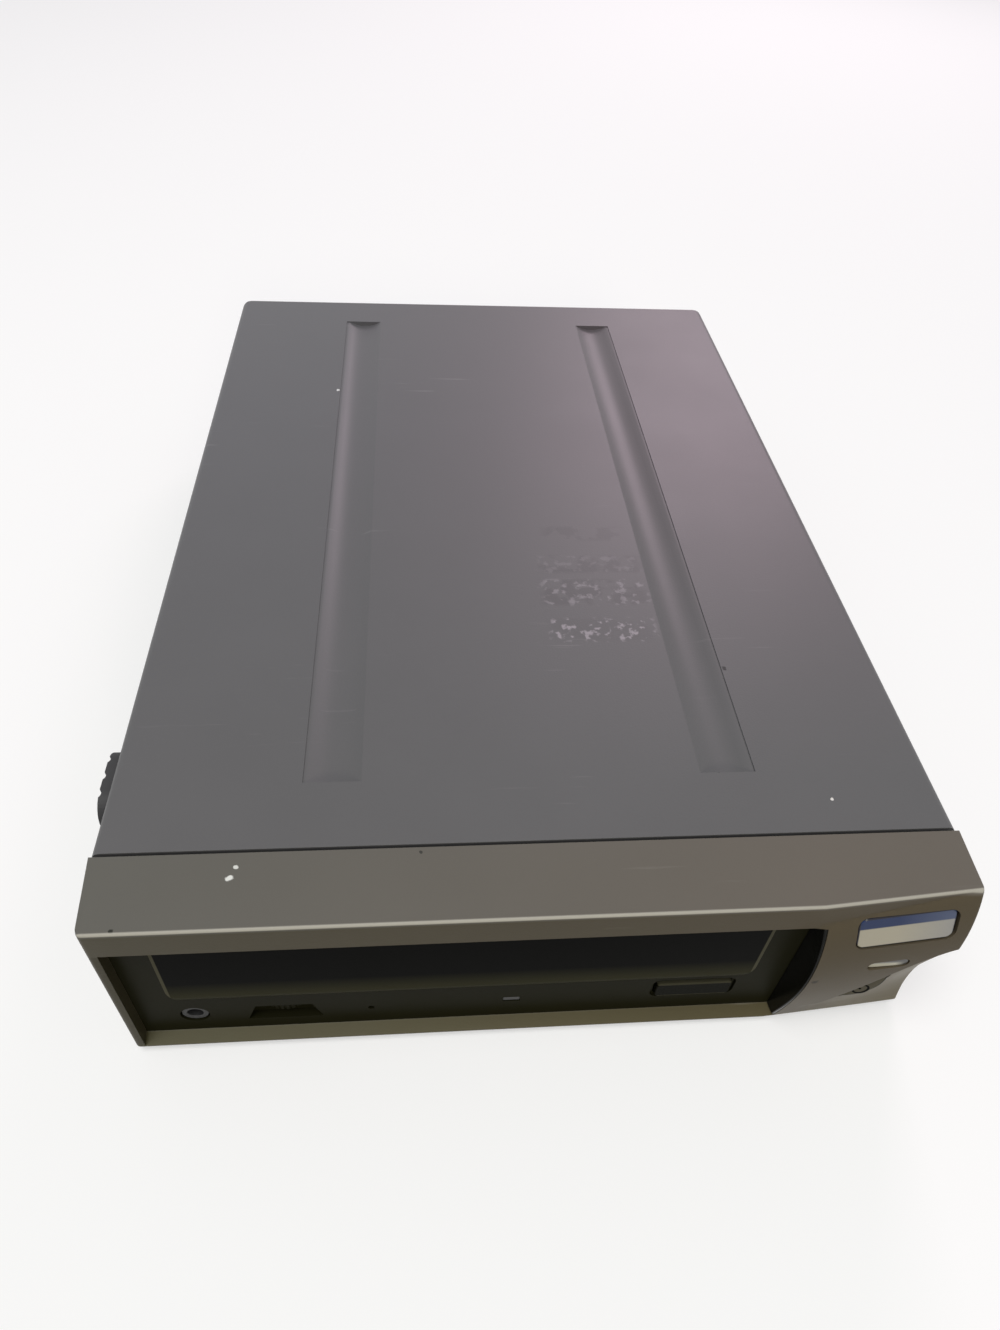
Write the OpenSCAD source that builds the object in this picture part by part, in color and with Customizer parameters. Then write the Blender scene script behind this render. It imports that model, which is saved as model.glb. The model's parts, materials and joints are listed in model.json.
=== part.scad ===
// External optical disc drive.
// A moulded desktop case holds a half-height tray drive, with its interface board and fan behind it
// and a narrow power supply beside it. Millimetres. The case's pieces are drawn with X to the right,
// Y from the front face to the back and Z up from the underside. The drive's pieces are drawn the same
// way from the middle of the drive's front. The whole then stands on its feet at Z = 0, with the
// middle of its footprint at the origin.

/* [Case] */
// Width over the cover
case_w = 185.5; // [185:0.5:200]
// Height of the case without its feet
case_h = 52.2; // [51.6:0.2:58]
// Depth from the front face to the back edge
case_d = 274.3; // [272:0.5:300]
// Wall of the cover
cover_wall = 2.4; // [2:0.1:2.5]
// Floor of the base tray
base_floor = 2; // [1.8:0.1:2.2]
// Height of the base tray's rim, where the cover stands on it
base_rim_h = 6; // [5:0.5:8]
// Radius of the rear corners, seen from above
rear_corner_r = 4; // [3:0.5:6]
// Radius along the long edges of the cover
cover_edge_r = 2.2; // [1.5:0.1:2.4]

/* [Front] */
// Depth of the front bezel
bezel_d = 17.6; // [17:0.2:20]
// Wall of the front bezel
bezel_wall = 2.4; // [2:0.1:2.5]
// Width of the groove between the bezel and the cover
joint_gap = 0.8; // [0.4:0.1:1.2]
// How much narrower the front face is at each side
front_taper = 1.35; // [0.5:0.05:1.5]
// Height of the bar above the opening
bar_h = 8.3; // [8.1:0.1:8.6]
// Height of the sill under the opening
sill_h = 1.9; // [1.8:0.1:2.1]
// Width of the strip left of the opening
left_strip_w = 2.3; // [2.2:0.1:2.6]
// How far the sweep starts left of the opening's right end
kink_lead = 1.6; // [0.5:0.1:3]
// How far the front face sweeps back at its right end
sweep_back = 3.1; // [2:0.1:3.6]
// Bulge of the right panel beside the opening
bulge_inner = 3.85; // [3:0.05:4]
// Bulge of the right panel at its outer end
bulge_outer = 4.6; // [4:0.1:5]
// Depth of the scoop in the lower right corner
scoop_depth = 3.9; // [3:0.1:4]
// Height of the scoop's edge at the right end
ridge_z = 35; // [33:0.5:37]

/* [Troughs] */
// Distance from the middle of the cover to a trough
trough_x = 39; // [34:0.5:44]
// Width of a trough
trough_w = 12.3; // [10:0.1:14]
// Depth of a trough's hollow
trough_dip = 1.4; // [1:0.1:1.6]
// Distance from the front face to a trough
trough_y = 35.2; // [32:0.2:40]
// Length of a trough
trough_l = 222.8; // [200:0.5:224]

/* [Feet] */
// Radius of a foot under the base
foot_r = 7; // [6:0.5:8]
// Height of a foot under the base
foot_h = 2.5; // [2:0.1:4]
// Length of a foot on the left side
side_foot_l = 19; // [16:0.5:22]
// Width of a foot on the left side
side_foot_w = 11; // [9:0.5:12]
// How far the left side's feet stand out
side_foot_proud = 3.2; // [2.4:0.1:4]

/* [Drive] */
// Width of the drive's steel case
drive_w = 146; // [145.8:0.1:146.2]
// Length of the drive's steel case with its bezel
drive_l = 195; // [194:0.5:198]
// Height of the drive's steel case
drive_h = 41.3; // [41.2:0.1:41.4]
// Sheet of the drive's steel case
sheet = 1; // [0.8:0.1:1]
// Width of the opening that frames the drive
opening_w = 147.4; // [147.2:0.1:147.6]
// How far the drive's bezel lies behind the front face
opening_set = 3; // [2.8:0.1:3.2]

/* [Tray] */
// Radius of the discs that the tray holds
disc_r = 60; // [59.5:0.1:60]
// Travel of the tray
tray_travel = 132; // [120:0.5:133]
// Half of the tray's width
tray_half = 64.5; // [64.2:0.1:64.6]
// Width of the tray's door
door_w = 130; // [129:0.2:130.4]
// Height of the tray's door
door_h = 24.4; // [24:0.1:24.6]

/* [Hidden] */
$fn = 64;

// Overrun of every cut, gap between faces that slide, gap round a fixed piece and round a pin
cut = 0.5;
run_gap = 0.2;
fit_gap = 0.2;
pin_gap = 0.05;
seat_gap = 0.3;

// Screws, boards and pins
screw_r = 1.45;
screw_hole_r = 1.6;
screw_head_r = 2.9;
screw_head_h = 1.1;
screw_l = 4.6;
long_screw_l = 12;
board_t = 1.6;
standoff_r = 2.8;
standoff_h = 3;
standoff_pin_r = 1.2;
standoff_pin_h = 0.6;
standoff_inset = 3.6;
board_z = base_floor + standoff_h;
board_top = board_z + board_t;

// Places that the front's outline gives
cover_half = case_w / 2;
inner_half = cover_half - cover_wall;
inner_top = case_h - cover_wall;
front_half = cover_half - front_taper;
opening_x = -front_half + left_strip_w;
cheek_flare = 1.3;
cheek_edge = 0.3;
wall_x = opening_x + opening_w + cheek_flare;
kink_x = wall_x - cheek_flare - kink_lead;
bar_z = case_h - bar_h;
sill_front = 1;
cover_y = bezel_d + joint_gap;

// The right panel: its bulge fades out under the top edge and at the bottom
bulge_high_share = 0.78;
bulge_clear = 1.1;
bulge_top_drop = bar_h - bulge_clear;
bulge_foot = 0.5;
ridge_slope_share = 0.36;
ridge_bend_l = 30.3;
ridge_low = 8;
scoop_reach = 27.6;
scoop_grow_share = 1.25;
edge_round = 0.7;
corner_round = 1.2;
panel_columns = 14;
low_rows = 8;
high_rows = 10;
low_shares = [for (i = [0 : low_rows]) i / low_rows];
high_shares = [for (i = [1 : high_rows]) i / high_rows];
round_shares = [0, 0.25, 1];
front_reach = bulge_inner - sweep_at(wall_x);

// Drive's place in the case, and its screw holes
drive_pad_h = 0.6;
drive_pad_r = 5;
drive_x = opening_x + opening_w / 2;
drive_z = base_floor + drive_pad_h;
drive_half = drive_w / 2;
hole_half = 69.85;
hole_first_y = 52.5;
hole_gauge = 79.25;
side_hole_r = 1.3;
side_hole_z = [10, 21.9];

// Front bezel's inside
nest_gap = 0.3;
rib_t = 1.4;
flange_t = 1.4;
flange_y = 12;
flange_l = 8;
rim_tongue_h = 3;
rim_tongue_t = 1.2;

// Label window, a lens set flush in the right panel
label_l = 19.6;
label_h = 8.4;
label_r = 1.6;
label_t = 1.2;
label_gap = 0.15;
label_at = [77.2, -0.5, 42.9];
label_turn = [-16, -5.2, 2.5];

// Indicator in its slot
slot_l = 9.6;
slot_h = 3.2;
slot_dip = 1;
slot_x = 76.6;
slot_z = 31;
slot_tilt = 4;
lens_t = 0.8;
light_pipe_r = 1.1;
slot_bottom = front_at(slot_x, slot_z) + slot_dip + lens_t;

// Power button, a leaf on the scoop's edge, and the switch and lamp behind the panel
leaf_x = 70.6;
leaf_z = 12.2;
leaf_l = 15.5;
leaf_rise = 54;
leaf_high = 0.9;
leaf_low = 2.3;
leaf_gap = 0.3;
leaf_proud = 0.3;
leaf_back = 3.4;
leaf_flange = 0.9;
button_travel = 0.8;
button_stem_r = 1.5;
control_y = 12.4;
control_x = [62.5, 87];
control_z = [6, 38];
control_boss_r = 2.6;
control_boss_in = 3;
switch_w = 6;
switch_t = 3.4;
switch_nose_r = 1.7;
switch_nose_l = 0.9;
nose_gap = 0.1;
lamp_w = 3;

// Feet and cover bosses
foot_inset_x = 20;
foot_front_y = 32;
foot_back = 18;
foot_y = [foot_front_y, case_d - foot_back];
foot_bevel = 0.8;
side_foot_y = [41.5, 41.5, 236];
side_foot_z = [42.8, 12.5, 26];
side_rib_n = 4;
side_rib_cut_r = 1.2;
side_rib_dip = 0.5;
boss_r = 3.2;
boss_inset = 4.4;
boss_front_y = 34;
boss_right_back = 12.3;
boss_left_back = 16.3;
boss_at = [[inner_half - boss_inset, boss_front_y], [inner_half - boss_inset, case_d - boss_right_back],
    [-inner_half + boss_inset, case_d - boss_left_back]];

// Troughs of the cover
trough_step = 0.35;
trough_ledge = 1;
trough_back = 1.2;
trough_r = (pow(trough_w - trough_ledge, 2) / 4 + trough_dip * trough_dip) / (2 * trough_dip);

// Rear panel and what it carries
panel_t = 1;
panel_y = case_d - cover_wall - panel_t;
rear_frame_w = 10;
rear_frame_top = 4.5;
rear_screw_x = 87.2;
rear_screw_z = [12, 42];
vent_slot_w = 2;
vent_slot_l = 24;
vent_slot_z = 21;
vent_n = 9;

// Fan
fan_size = 40;
fan_t = 10;
fan_corner_r = 3;
fan_bore_r = 18.6;
fan_x = -58;
fan_z = 25;
fan_pitch = 32;
fan_hole_r = 1.8;
fan_hub_r = 9.5;
fan_shaft_r = 1;
fan_shaft_set = 1;
fan_collar_r = 2.4;
fan_blade_n = 7;
fan_blade_t = 1;
fan_blade_l = 9.2;
fan_blade_tip_r = 17.9;
fan_blade_turn = 42;
fan_strut_w = 2.4;
fan_strut_t = 1.6;
fan_rotor_set = 0.5;
fan_rotor_l = 7;
grille_slot_w = 2.6;
grille_pitch = 4.4;
grille_n = 9;
fan_screw_l = 7;

// Mains inlet
inlet_x = 65;
inlet_z = 29;
inlet_w = 27;
inlet_h = 19.8;
inlet_l = 22;
inlet_rim = 1.9;
inlet_rim_t = 1.6;
inlet_well_w = 24.2;
inlet_well_h = 16.2;
inlet_well_l = 17;
inlet_corner = 4.2;
inlet_pin_w = 2;
inlet_pin_h = 4;
inlet_pin_set = 4.6;
inlet_pin_pitch = 14;
inlet_earth_rise = 4;
inlet_tab_l = 7;

// Power supply in the side bay
psu_x = [62, 88];
psu_y = [98, 244];
psu_mid = (psu_x[0] + psu_x[1]) / 2;
core_w = 20;
core_l = 22;
core_h = 21;
core_y = 153;
core_limb = 4;
coil_l = 28;
can_r = 9;
can_h = 30;
can_y = 229;
can_small_r = 5;
can_small_h = 20;
can_small_y = [116, 129];
sink_t = 2;
sink_y = [170, 202];
sink_h = 26;
sink_back = 3;
sink_fin_n = 5;
sink_fin_l = 2.6;
plug_w = 12;
plug_l = 8;
plug_h = 8;
lead_y = 210;

// Interface board behind the drive
bridge_x = [-37, 25];
bridge_l = 59;
bridge_set = 8.3;
bridge_y = [case_d - bridge_set - bridge_l, case_d - bridge_set];
header_w = 58;
header_l = 9;
header_h = 6.5;
header_y = 213;
chip_w = 20;
chip_t = 1.8;
small_chip_w = 9;
small_chip_l = 14;
chip_at = [-14, 237];
small_chip_at = [12, 232];
socket_x = [-18, 6];
socket_w = 13.4;
socket_h = 8.6;
socket_l = 16.5;
socket_wall = 0.7;
socket_floor = 3;
socket_proud = 0.5;
socket_corner = 2;
tongue_w = 8;
tongue_t = 2.4;
tongue_set = 2;

// Cables inside the case
ribbon_w = 50.8;
ribbon_t = 1;
ribbon_bend_r = 3;
ribbon_plug_t = 6;
wire_r = 0.9;
wire_pitch = 1.9;
wire_n = 4;
wire_bend_r = 3;
strip_t = 0.8;

// Drive bezel
face_t = 2.2;
face_lip = 1;
face_drop = 1.1;
face_rise = 0.2;
skirt_t = 0.8;
face_d = 5.5;
door_gap = 0.6;
door_z = 15.7;
door_corner_r = 6;
door_proud = 1.5;
door_band_h = 3;
door_band_r = (door_band_h * door_band_h + door_proud * door_proud) / (2 * door_proud);
jack_x = -61.5;
jack_z = 6.9;
jack_hole_r = 3.25;
jack_nose_r = 3;
jack_bore_r = 1.8;
jack_w = 12;
jack_set = 0.4;
jack_y1 = 15.6;
jack_bore_l = 12.6;
dial_x = -41.5;
dial_low_w = 17;
dial_high_w = 12.6;
dial_z = [3.4, 9.6];
dial_d = 2;
dial_back_t = 1.4;
dial_slot_w = 12.6;
wheel_r = 8;
wheel_t = 3;
wheel_z = 6;
wheel_y = 8.7;
wheel_gap = 0.3;
knurl_n = 40;
knurl_r = 0.3;
pot_r = 4.6;
pot_shaft_r = 1.5;
pin_hole_x = -22;
pin_hole_z = 6.4;
pin_hole_r = 0.75;
lamp_x = 10.4;
lamp_z = 7.4;
lamp_window_w = 4;
lamp_window_h = 2;
eject_x = 53.1;
eject_z = 9.4;
eject_w = 18;
eject_h = 6;
eject_gap = 0.25;
eject_rim = 1;
eject_rim_d = 0.7;
eject_proud = 0.5;
eject_corner_r = 1.2;
eject_flange = 0.8;
eject_flange_t = 0.9;
eject_stem_l = 5;
eject_travel = 0.8;

// Drive's front board
small_board_z = sheet + fit_gap;
small_board_top = small_board_z + board_t;
small_board_y = [4, 24];
small_board_strip_y = [8, 14];
small_board_half = 68;
small_board_left = -30;

// Loading frame
deck_z = 11.2;
deck_t = 2;
deck_top = deck_z + deck_t;
deck_y = [6.2, 39.8];
rear_bar_y = [162, 182];
side_t = 2.4;
side_out = drive_half - sheet - fit_gap;
side_in = side_out - side_t;
side_z = [8.4, 31];
side_y1 = 186;
rail_in = 61;
rail_t = 2.2;
guide_t = 1.6;
hook_y = [14, 92, 168];
hook_l = 14;
hook_t = 1.6;
hook_reach = 2;
block_w = 9;
block_y = [30, 164];

// Loading gears: module, teeth and places
tooth_m = 1;
gear_teeth = 30;
pinion_teeth = 12;
pressure = 20;
backlash = 0.3;
tooth_top_share = 0.8;
tooth_foot_share = 1.05;
flank_shares = [0, 0.35, 0.7, 1];
rack_x = -51;
gear_r = tooth_m * gear_teeth / 2;
pinion_r = tooth_m * pinion_teeth / 2;
gear_x = rack_x + gear_r;
gear_y = 23;
pulley_x = gear_x + gear_r + pinion_r;
gear_gap = 0.3;
gear_z = deck_top + gear_gap;
pulley_h = 3;
teeth_z = [gear_z + pulley_h + gear_gap, 22.6];
gear_hub_r = 4;
gear_post_r = 1.5;
gear_web_t = 2;
gear_rim_r = 12;
pulley_r = 12;
pulley_groove = 1;
pulley_groove_w = 1.4;
motor_x = 12;
motor_y = 26;
motor_r = 11;
motor_z = 1.4;
motor_pulley_r = 3.6;
motor_shaft_r = 1;
belt_t = 0.9;
belt_h = 1.2;
belt_steps = 32;
rack_w = 3.6;
rack_z = 18.5;
rack_y = [16, 160];

// Disc tray
tray_z = 24;
tray_t = 5;
tray_top = tray_z + tray_t;
tray_front_t = 2.2;
tray_front_half = 60;
tray_front_z = [17.4, 38.6];
tray_y1 = 165.4;
hub_y = 70;
disc_play = 0.75;
disc_dip = 2.4;
small_disc_r = 40.7;
small_disc_dip = 1;
hub_hole_r = 19;
slot_half = 18;
slot_end_y = 133;
skirt_x = 60.8;
tray_skirt_t = 1.6;
tray_skirt_h = 1.8;
notch_l = 26;
notch_in = 6;

// Lift mechanism: a frame that tips on rear pins, raised by a cam slider
lift_turn = 4.8;
pivot_y = 150;
pivot_z = 12.3;
pivot_r = 2;
pivot_l = 5.4;
ear_t = 4.4;
ear_r = 4.5;
ear_gap = 0.5;
lift_half = 44;
lift_y = [44, 156];
lift_rim = 7;
lift_t = 3;
lift_z = 10.8;
cam_pin_r = 1.3;
cam_pin_l = 3.8;
cam_slot_r = 1.5;
cam_pin_x = -8;
cam_travel = 12;
cam_y = 40.2;
cam_t = 2;
cam_x = [-34, 8];
cam_z = [1.25, 14.8];
cam_lip_t = 1.2;
cam_lip_l = 3;
cam_drop = (pivot_y - cam_y - cam_t / 2) * sin(lift_turn);
damper_x = 39.5;
damper_y = [55, 147];
damper_r = 3.2;
damper_h = 3.8;
damper_post_r = 1.3;
damper_bore_r = damper_post_r + pin_gap;
damper_neck_r = 2.2;

// Sled deck on the dampers
plate_z = 15.2;
plate_t = 1.2;
plate_top = plate_z + plate_t;
plate_half = 34.5;
plate_y = [50, 150];
plate_arm = 4;
plate_window = 17;
plate_window_y = [90, 138];
spindle_r = 12.6;
spindle_h = 1.6;
spindle_shaft_r = 1;
spindle_top = 27.4;
can_z = plate_top + spindle_h + run_gap;
rotor_r = 12;
table_r = 14.8;
table_t = 3;
table_z = 28.2;
cone_r = 7.4;
cone_top_r = 6.6;
cone_h = 1.6;
table_pad_in = 10.6;
table_pad_w = 2.6;
table_pad_dip = 0.4;
rod_r = 1.5;
rod_x = 25;
rod_z = 19.8;
rod_y = [84.5, 145];
holder_t = 3;
holder_w = 7;
holder_h = 6.4;
sled_y = 88;
sled_l = 20;
sled_travel = 32;
sled_half = 29;
sled_waist = 14;
sled_z = [16.8, 23];
lens_y = 94.5;
lens_r = 3.4;
lens_h = 2.2;
lens_block_w = 15;
lens_block_l = 11;
lens_block_h = 1.2;
screw_x = 35;
lead_r = 1.4;
lead_tip_r = 0.9;
lead_gap = 0.15;
lead_y0 = 88;
lead_bracket_y = 131;
lead_bracket_t = 1.6;
lead_bracket_w = 3.5;
lead_front_y = 85.8;
step_motor_r = 3.3;
step_motor_l = 10;
nut_t = 5;

// Clamp above the tray
clamp_z = 33;
clamp_t = 1.2;
clamp_half_l = 14;
clamp_foot = 5;
clamp_hole_r = 10;
clamp_rib_h = 1;
clamp_rib_w = 2;
puck_r = 13;
puck_neck_r = 9.6;
puck_cap_r = 11.4;
puck_z = 29.5;
puck_t = 2.8;
puck_gap = 0.1;
puck_cap_t = 1.4;
puck_dish_r = 8;
puck_dish_d = 0.9;

// Drive's main board and rear sockets
main_l = 86;
main_set = 3;
main_y = [drive_l - main_set - main_l, drive_l - main_set];
main_z = sheet + seat_gap;
main_half = 58;
main_top = main_z + board_t;
rear_block_l = 9;
rear_block_h = 7.2;
rear_block_well = 6;
rear_block_wall = 1;
rear_block_x = [-34, 9, 52];
rear_block_w = [13, header_w, 22];
rear_cut_h = 12;
rear_strut_w = 8;
main_chip_at = [[-22, 22], [20, 34], [-6, 59]];
main_chip_w = [16, 14, 12];

// The whole object's place
origin_x = side_foot_proud / 2;
origin_y = -(case_d - front_reach) / 2;

// Sets a piece of the case, of the drive and of the tipping frame in its place
module in_case() translate([origin_x, origin_y, foot_h]) children();
module in_drive() in_case() translate([drive_x, opening_set, drive_z]) children();
module in_lift() in_drive() translate([0, pivot_y, pivot_z]) rotate([lift_turn, 0, 0])
    translate([0, -pivot_y, -pivot_z]) children();

// A box between two corners, outlines carried along an axis, and round bars
module span(a, b) translate(a) cube(b - a);
module along_x(x0, x1) translate([x0, 0, 0]) rotate([90, 0, 90]) linear_extrude(x1 - x0) children();
module along_y(y0, y1) translate([0, y1, 0]) rotate([90, 0, 0]) linear_extrude(y1 - y0) children();
module up_z(z0, z1) translate([0, 0, z0]) linear_extrude(z1 - z0) children();
module bar_y(x, z, r, y0, y1) translate([x, y0, z]) rotate([-90, 0, 0]) cylinder(r = r, h = y1 - y0);
module bar_x(y, z, r, x0, x1) translate([x0, y, z]) rotate([0, 90, 0]) cylinder(r = r, h = x1 - x0);
module post(x, y, r, z0, z1) translate([x, y, z0]) cylinder(r = r, h = z1 - z0);
module both_sides() {
    children();
    mirror([1, 0, 0]) children();
}

// Outlines
module flat_rect(x0, x1, y0, y1) translate([x0, y0]) square([x1 - x0, y1 - y0]);
module round_rect(x0, x1, y0, y1, r) {
    flat_rect(x0 + r, x1 - r, y0, y1);
    flat_rect(x0, x1, y0 + r, y1 - r);
    for (x = [x0 + r, x1 - r], y = [y0 + r, y1 - r])
        translate([x, y]) circle(r);
}
module high_round_rect(x0, x1, y0, y1, r) {
    flat_rect(x0, x1, y0, y1 - r);
    flat_rect(x0 + r, x1 - r, y0, y1);
    for (x = [x0 + r, x1 - r])
        translate([x, y1 - r]) circle(r);
}
module low_round_rect(x0, x1, y0, y1, r)
    translate([0, y0 + y1]) mirror([0, 1]) high_round_rect(x0, x1, y0, y1, r);
module pill(l, w) {
    flat_rect(-(l - w) / 2, (l - w) / 2, -w / 2, w / 2);
    for (x = [-(l - w) / 2, (l - w) / 2])
        translate([x, 0]) circle(w / 2);
}
module screw_up(x, y, z, l) {
    post(x, y, screw_head_r, z, z + screw_head_h);
    post(x, y, screw_r, z + screw_head_h, z + l);
}
module screw_in(x, z, y, l) {
    bar_y(x, z, screw_head_r, y - screw_head_h, y);
    bar_y(x, z, screw_r, y - l, y - screw_head_h);
}

// Front face: where it lies in depth at each place across and up
function sweep_at(x) = x <= kink_x ? 0 : sweep_back * (x - kink_x) / (front_half - kink_x);
function across(x) = max(0, min(1, (x - wall_x) / (front_half - wall_x)));
function bulge_top(x) = case_h - bulge_top_drop * (1 - across(x));
function bulge_low(x) = bulge_foot * (1 - across(x));
function bulge_size(x) = bulge_inner + (bulge_outer - bulge_inner) * across(x);
function bulge_way(x, z) = max(0, min(1, (bulge_top(x) - z) / (bulge_top(x) - bulge_low(x))));
function bulge_at(x, z) = x < wall_x ? 0 : bulge_size(x) * sin(180 * pow(bulge_way(x, z), bulge_high_share));
function ridge_at(x) = let (d = front_half - x)
    max(ridge_low, ridge_z - ridge_slope_share * d - d * d / ridge_bend_l);
function scoop_size(x) = scoop_depth * pow(max(0, 1 - (front_half - x) / scoop_reach), scoop_grow_share);
function scoop_at(x, z) = z >= ridge_at(x) ? 0 : scoop_size(x) * sin(180 * (1 - z / ridge_at(x)));
function front_at(x, z) = sweep_at(x) - bulge_at(x, z) + scoop_at(x, z);
function drift_at(y) = front_taper * y / bezel_d;
// Depth that a rounded edge gives up at a distance from it
function round_off(d, r) = d >= r ? 0 : r - sqrt(r * r - pow(r - d, 2));

// Columns across a face, and rows up it that follow the scoop's edge
function columns(x0, x1, n) = [for (i = [0 : n]) x0 + (x1 - x0) * i / n];
function rows_at(x, z0, z1, edge) = let (r = ridge_at(x)) concat(
    edge > 0 ? [for (s = round_shares) z0 + edge * s] : [z0],
    [for (s = low_shares) if (s > 0) z0 + edge + (r - z0 - edge) * s],
    [for (s = high_shares) if (s < 1) r + (z1 - edge - r) * s],
    edge > 0 ? [for (i = [len(round_shares) - 1 : -1 : 0]) z1 - edge * round_shares[i]] : [z1]);

// A solid behind the front face, set back by an inset, between two heights and down to a flat back.
// The rows share an edge round, and the left corner has a round of its own. The case's two sides drift
// outward with depth.
module face_solid(xs, z0, z1, inset, back, edge = 0, corner = 0) {
    n = len(xs) - 1;
    m = len(rows_at(xs[0], z0, z1, edge)) - 1;
    w = m + 1;
    left = xs[0] < 0 ? 1 : 0;
    front = [for (x = xs) [for (z = rows_at(x, z0, z1, edge))
        [x, front_at(x, z) + inset + round_off(min(z - z0, z1 - z), edge) + round_off(x - xs[0], corner), z]]];
    skin = [for (i = [0 : n], j = [0 : m]) let (p = front[i][j])
        [p.x + (i == 0 ? -left * drift_at(p.y) : i == n ? drift_at(p.y) : 0), p.y, p.z]];
    corners = [for (e = [0, n], j = [0, m])
        [xs[e] + (e == 0 ? -left * drift_at(back) : drift_at(back)), back, front[e][j].z]];
    c = len(skin);
    polyhedron(points = concat(skin, corners), faces = concat(
        [for (i = [0 : n - 1], j = [0 : m - 1]) [i * w + j, i * w + j + 1, (i + 1) * w + j + 1]],
        [for (i = [0 : n - 1], j = [0 : m - 1]) [i * w + j, (i + 1) * w + j + 1, (i + 1) * w + j]],
        [concat([for (j = [m : -1 : 0]) j], [c, c + 1])],
        [concat([for (j = [0 : m]) n * w + j], [c + 3, c + 2])],
        [concat([for (i = [0 : n]) i * w], [c + 2, c])],
        [concat([for (i = [n : -1 : 0]) i * w + m], [c + 1, c + 3])],
        [[c, c + 2, c + 3, c + 1]]));
}
panel_xs = columns(wall_x, front_half, panel_columns);
face_xs = concat([-front_half, -front_half + corner_round * round_shares[1], -front_half + corner_round,
    kink_x], panel_xs);
bay_xs = columns(wall_x + rib_t, front_half - bezel_wall, panel_columns);
leaf_xs = columns(leaf_x - leaf_low - leaf_flange, leaf_x + leaf_l, panel_columns / 2);

// The power button's outline: two arcs over one chord, each grown by a margin
module leaf_outline(grow) {
    high_r = (leaf_l * leaf_l / 4 + leaf_high * leaf_high) / (2 * leaf_high);
    low_r = (leaf_l * leaf_l / 4 + leaf_low * leaf_low) / (2 * leaf_low);
    translate([leaf_x, leaf_z]) rotate(leaf_rise) intersection() {
        translate([leaf_l / 2, leaf_high - high_r]) circle(high_r + grow);
        translate([leaf_l / 2, low_r - leaf_low]) circle(low_r + grow);
        flat_rect(-leaf_low, leaf_l + leaf_low, -leaf_l, leaf_l);
    }
}
leaf_mid = [leaf_x + leaf_l / 2 * cos(leaf_rise) + leaf_low / 4, leaf_z + leaf_l / 2 * sin(leaf_rise)];

module label_place() translate(label_at) rotate(label_turn) rotate([90, 0, 0]) children();
module label_outline(grow) round_rect(-label_l / 2 - grow, label_l / 2 + grow, -label_h / 2 - grow,
    label_h / 2 + grow, label_r + grow);
module slot_place() translate([slot_x, 0, slot_z]) rotate([0, -slot_tilt, 0]) children();

// Case
module cover_form() intersection() {
    along_y(cover_y, case_d)
        high_round_rect(-cover_half, cover_half, base_rim_h, case_h, cover_edge_r);
    up_z(0, case_h + cut)
        high_round_rect(-cover_half, cover_half, cover_y - cut, case_d, rear_corner_r);
}
module trough_cut() {
    mid = trough_x + (trough_w - trough_ledge) / 2;
    along_y(trough_y, trough_y + trough_l) {
        flat_rect(trough_x, trough_x + trough_w, case_h - trough_step, case_h + cut);
        intersection() {
            translate([mid, case_h - trough_step - trough_dip + trough_r]) circle(trough_r);
            flat_rect(trough_x - trough_ledge, trough_x + trough_w, case_h - trough_r, case_h + cut);
        }
    }
}
module top_cover() color([0.62, 0.61, 0.62]) in_case() difference() {
    union() {
        difference() {
            cover_form();
            span([-inner_half, cover_y - cut, 0], [inner_half, case_d - cover_wall, inner_top]);
        }
        both_sides()
            span([trough_x - trough_back, trough_y - trough_back, inner_top - trough_back],
                [trough_x + trough_w + trough_back, trough_y + trough_l + trough_back, case_h - cover_wall / 2]);
        for (p = boss_at)
            post(p.x, p.y, boss_r, base_floor, inner_top + cut);
    }
    both_sides() trough_cut();
    span([-cover_half + rear_frame_w, case_d - cover_wall - cut, 0],
        [cover_half - rear_frame_w, case_d + cut, case_h - rear_frame_top]);
    for (s = [-1, 1], z = rear_screw_z) {
        bar_y(s * rear_screw_x, z, screw_head_r + fit_gap, case_d - screw_head_h, case_d + cut);
        bar_y(s * rear_screw_x, z, screw_hole_r, case_d - cover_wall - cut, case_d);
    }
    for (p = boss_at)
        post(p.x, p.y, screw_hole_r, base_floor - cut, long_screw_l + cut);
}
drive_holes = [for (s = [-1, 1], i = [0, 1])
    [drive_x + s * hole_half, opening_set + hole_first_y + i * hole_gauge]];
function board_holes(x, y) = [for (i = [0, 1], j = [0, 1])
    [x[i] + (i == 0 ? standoff_inset : -standoff_inset), y[j] + (j == 0 ? standoff_inset : -standoff_inset)]];
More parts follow.
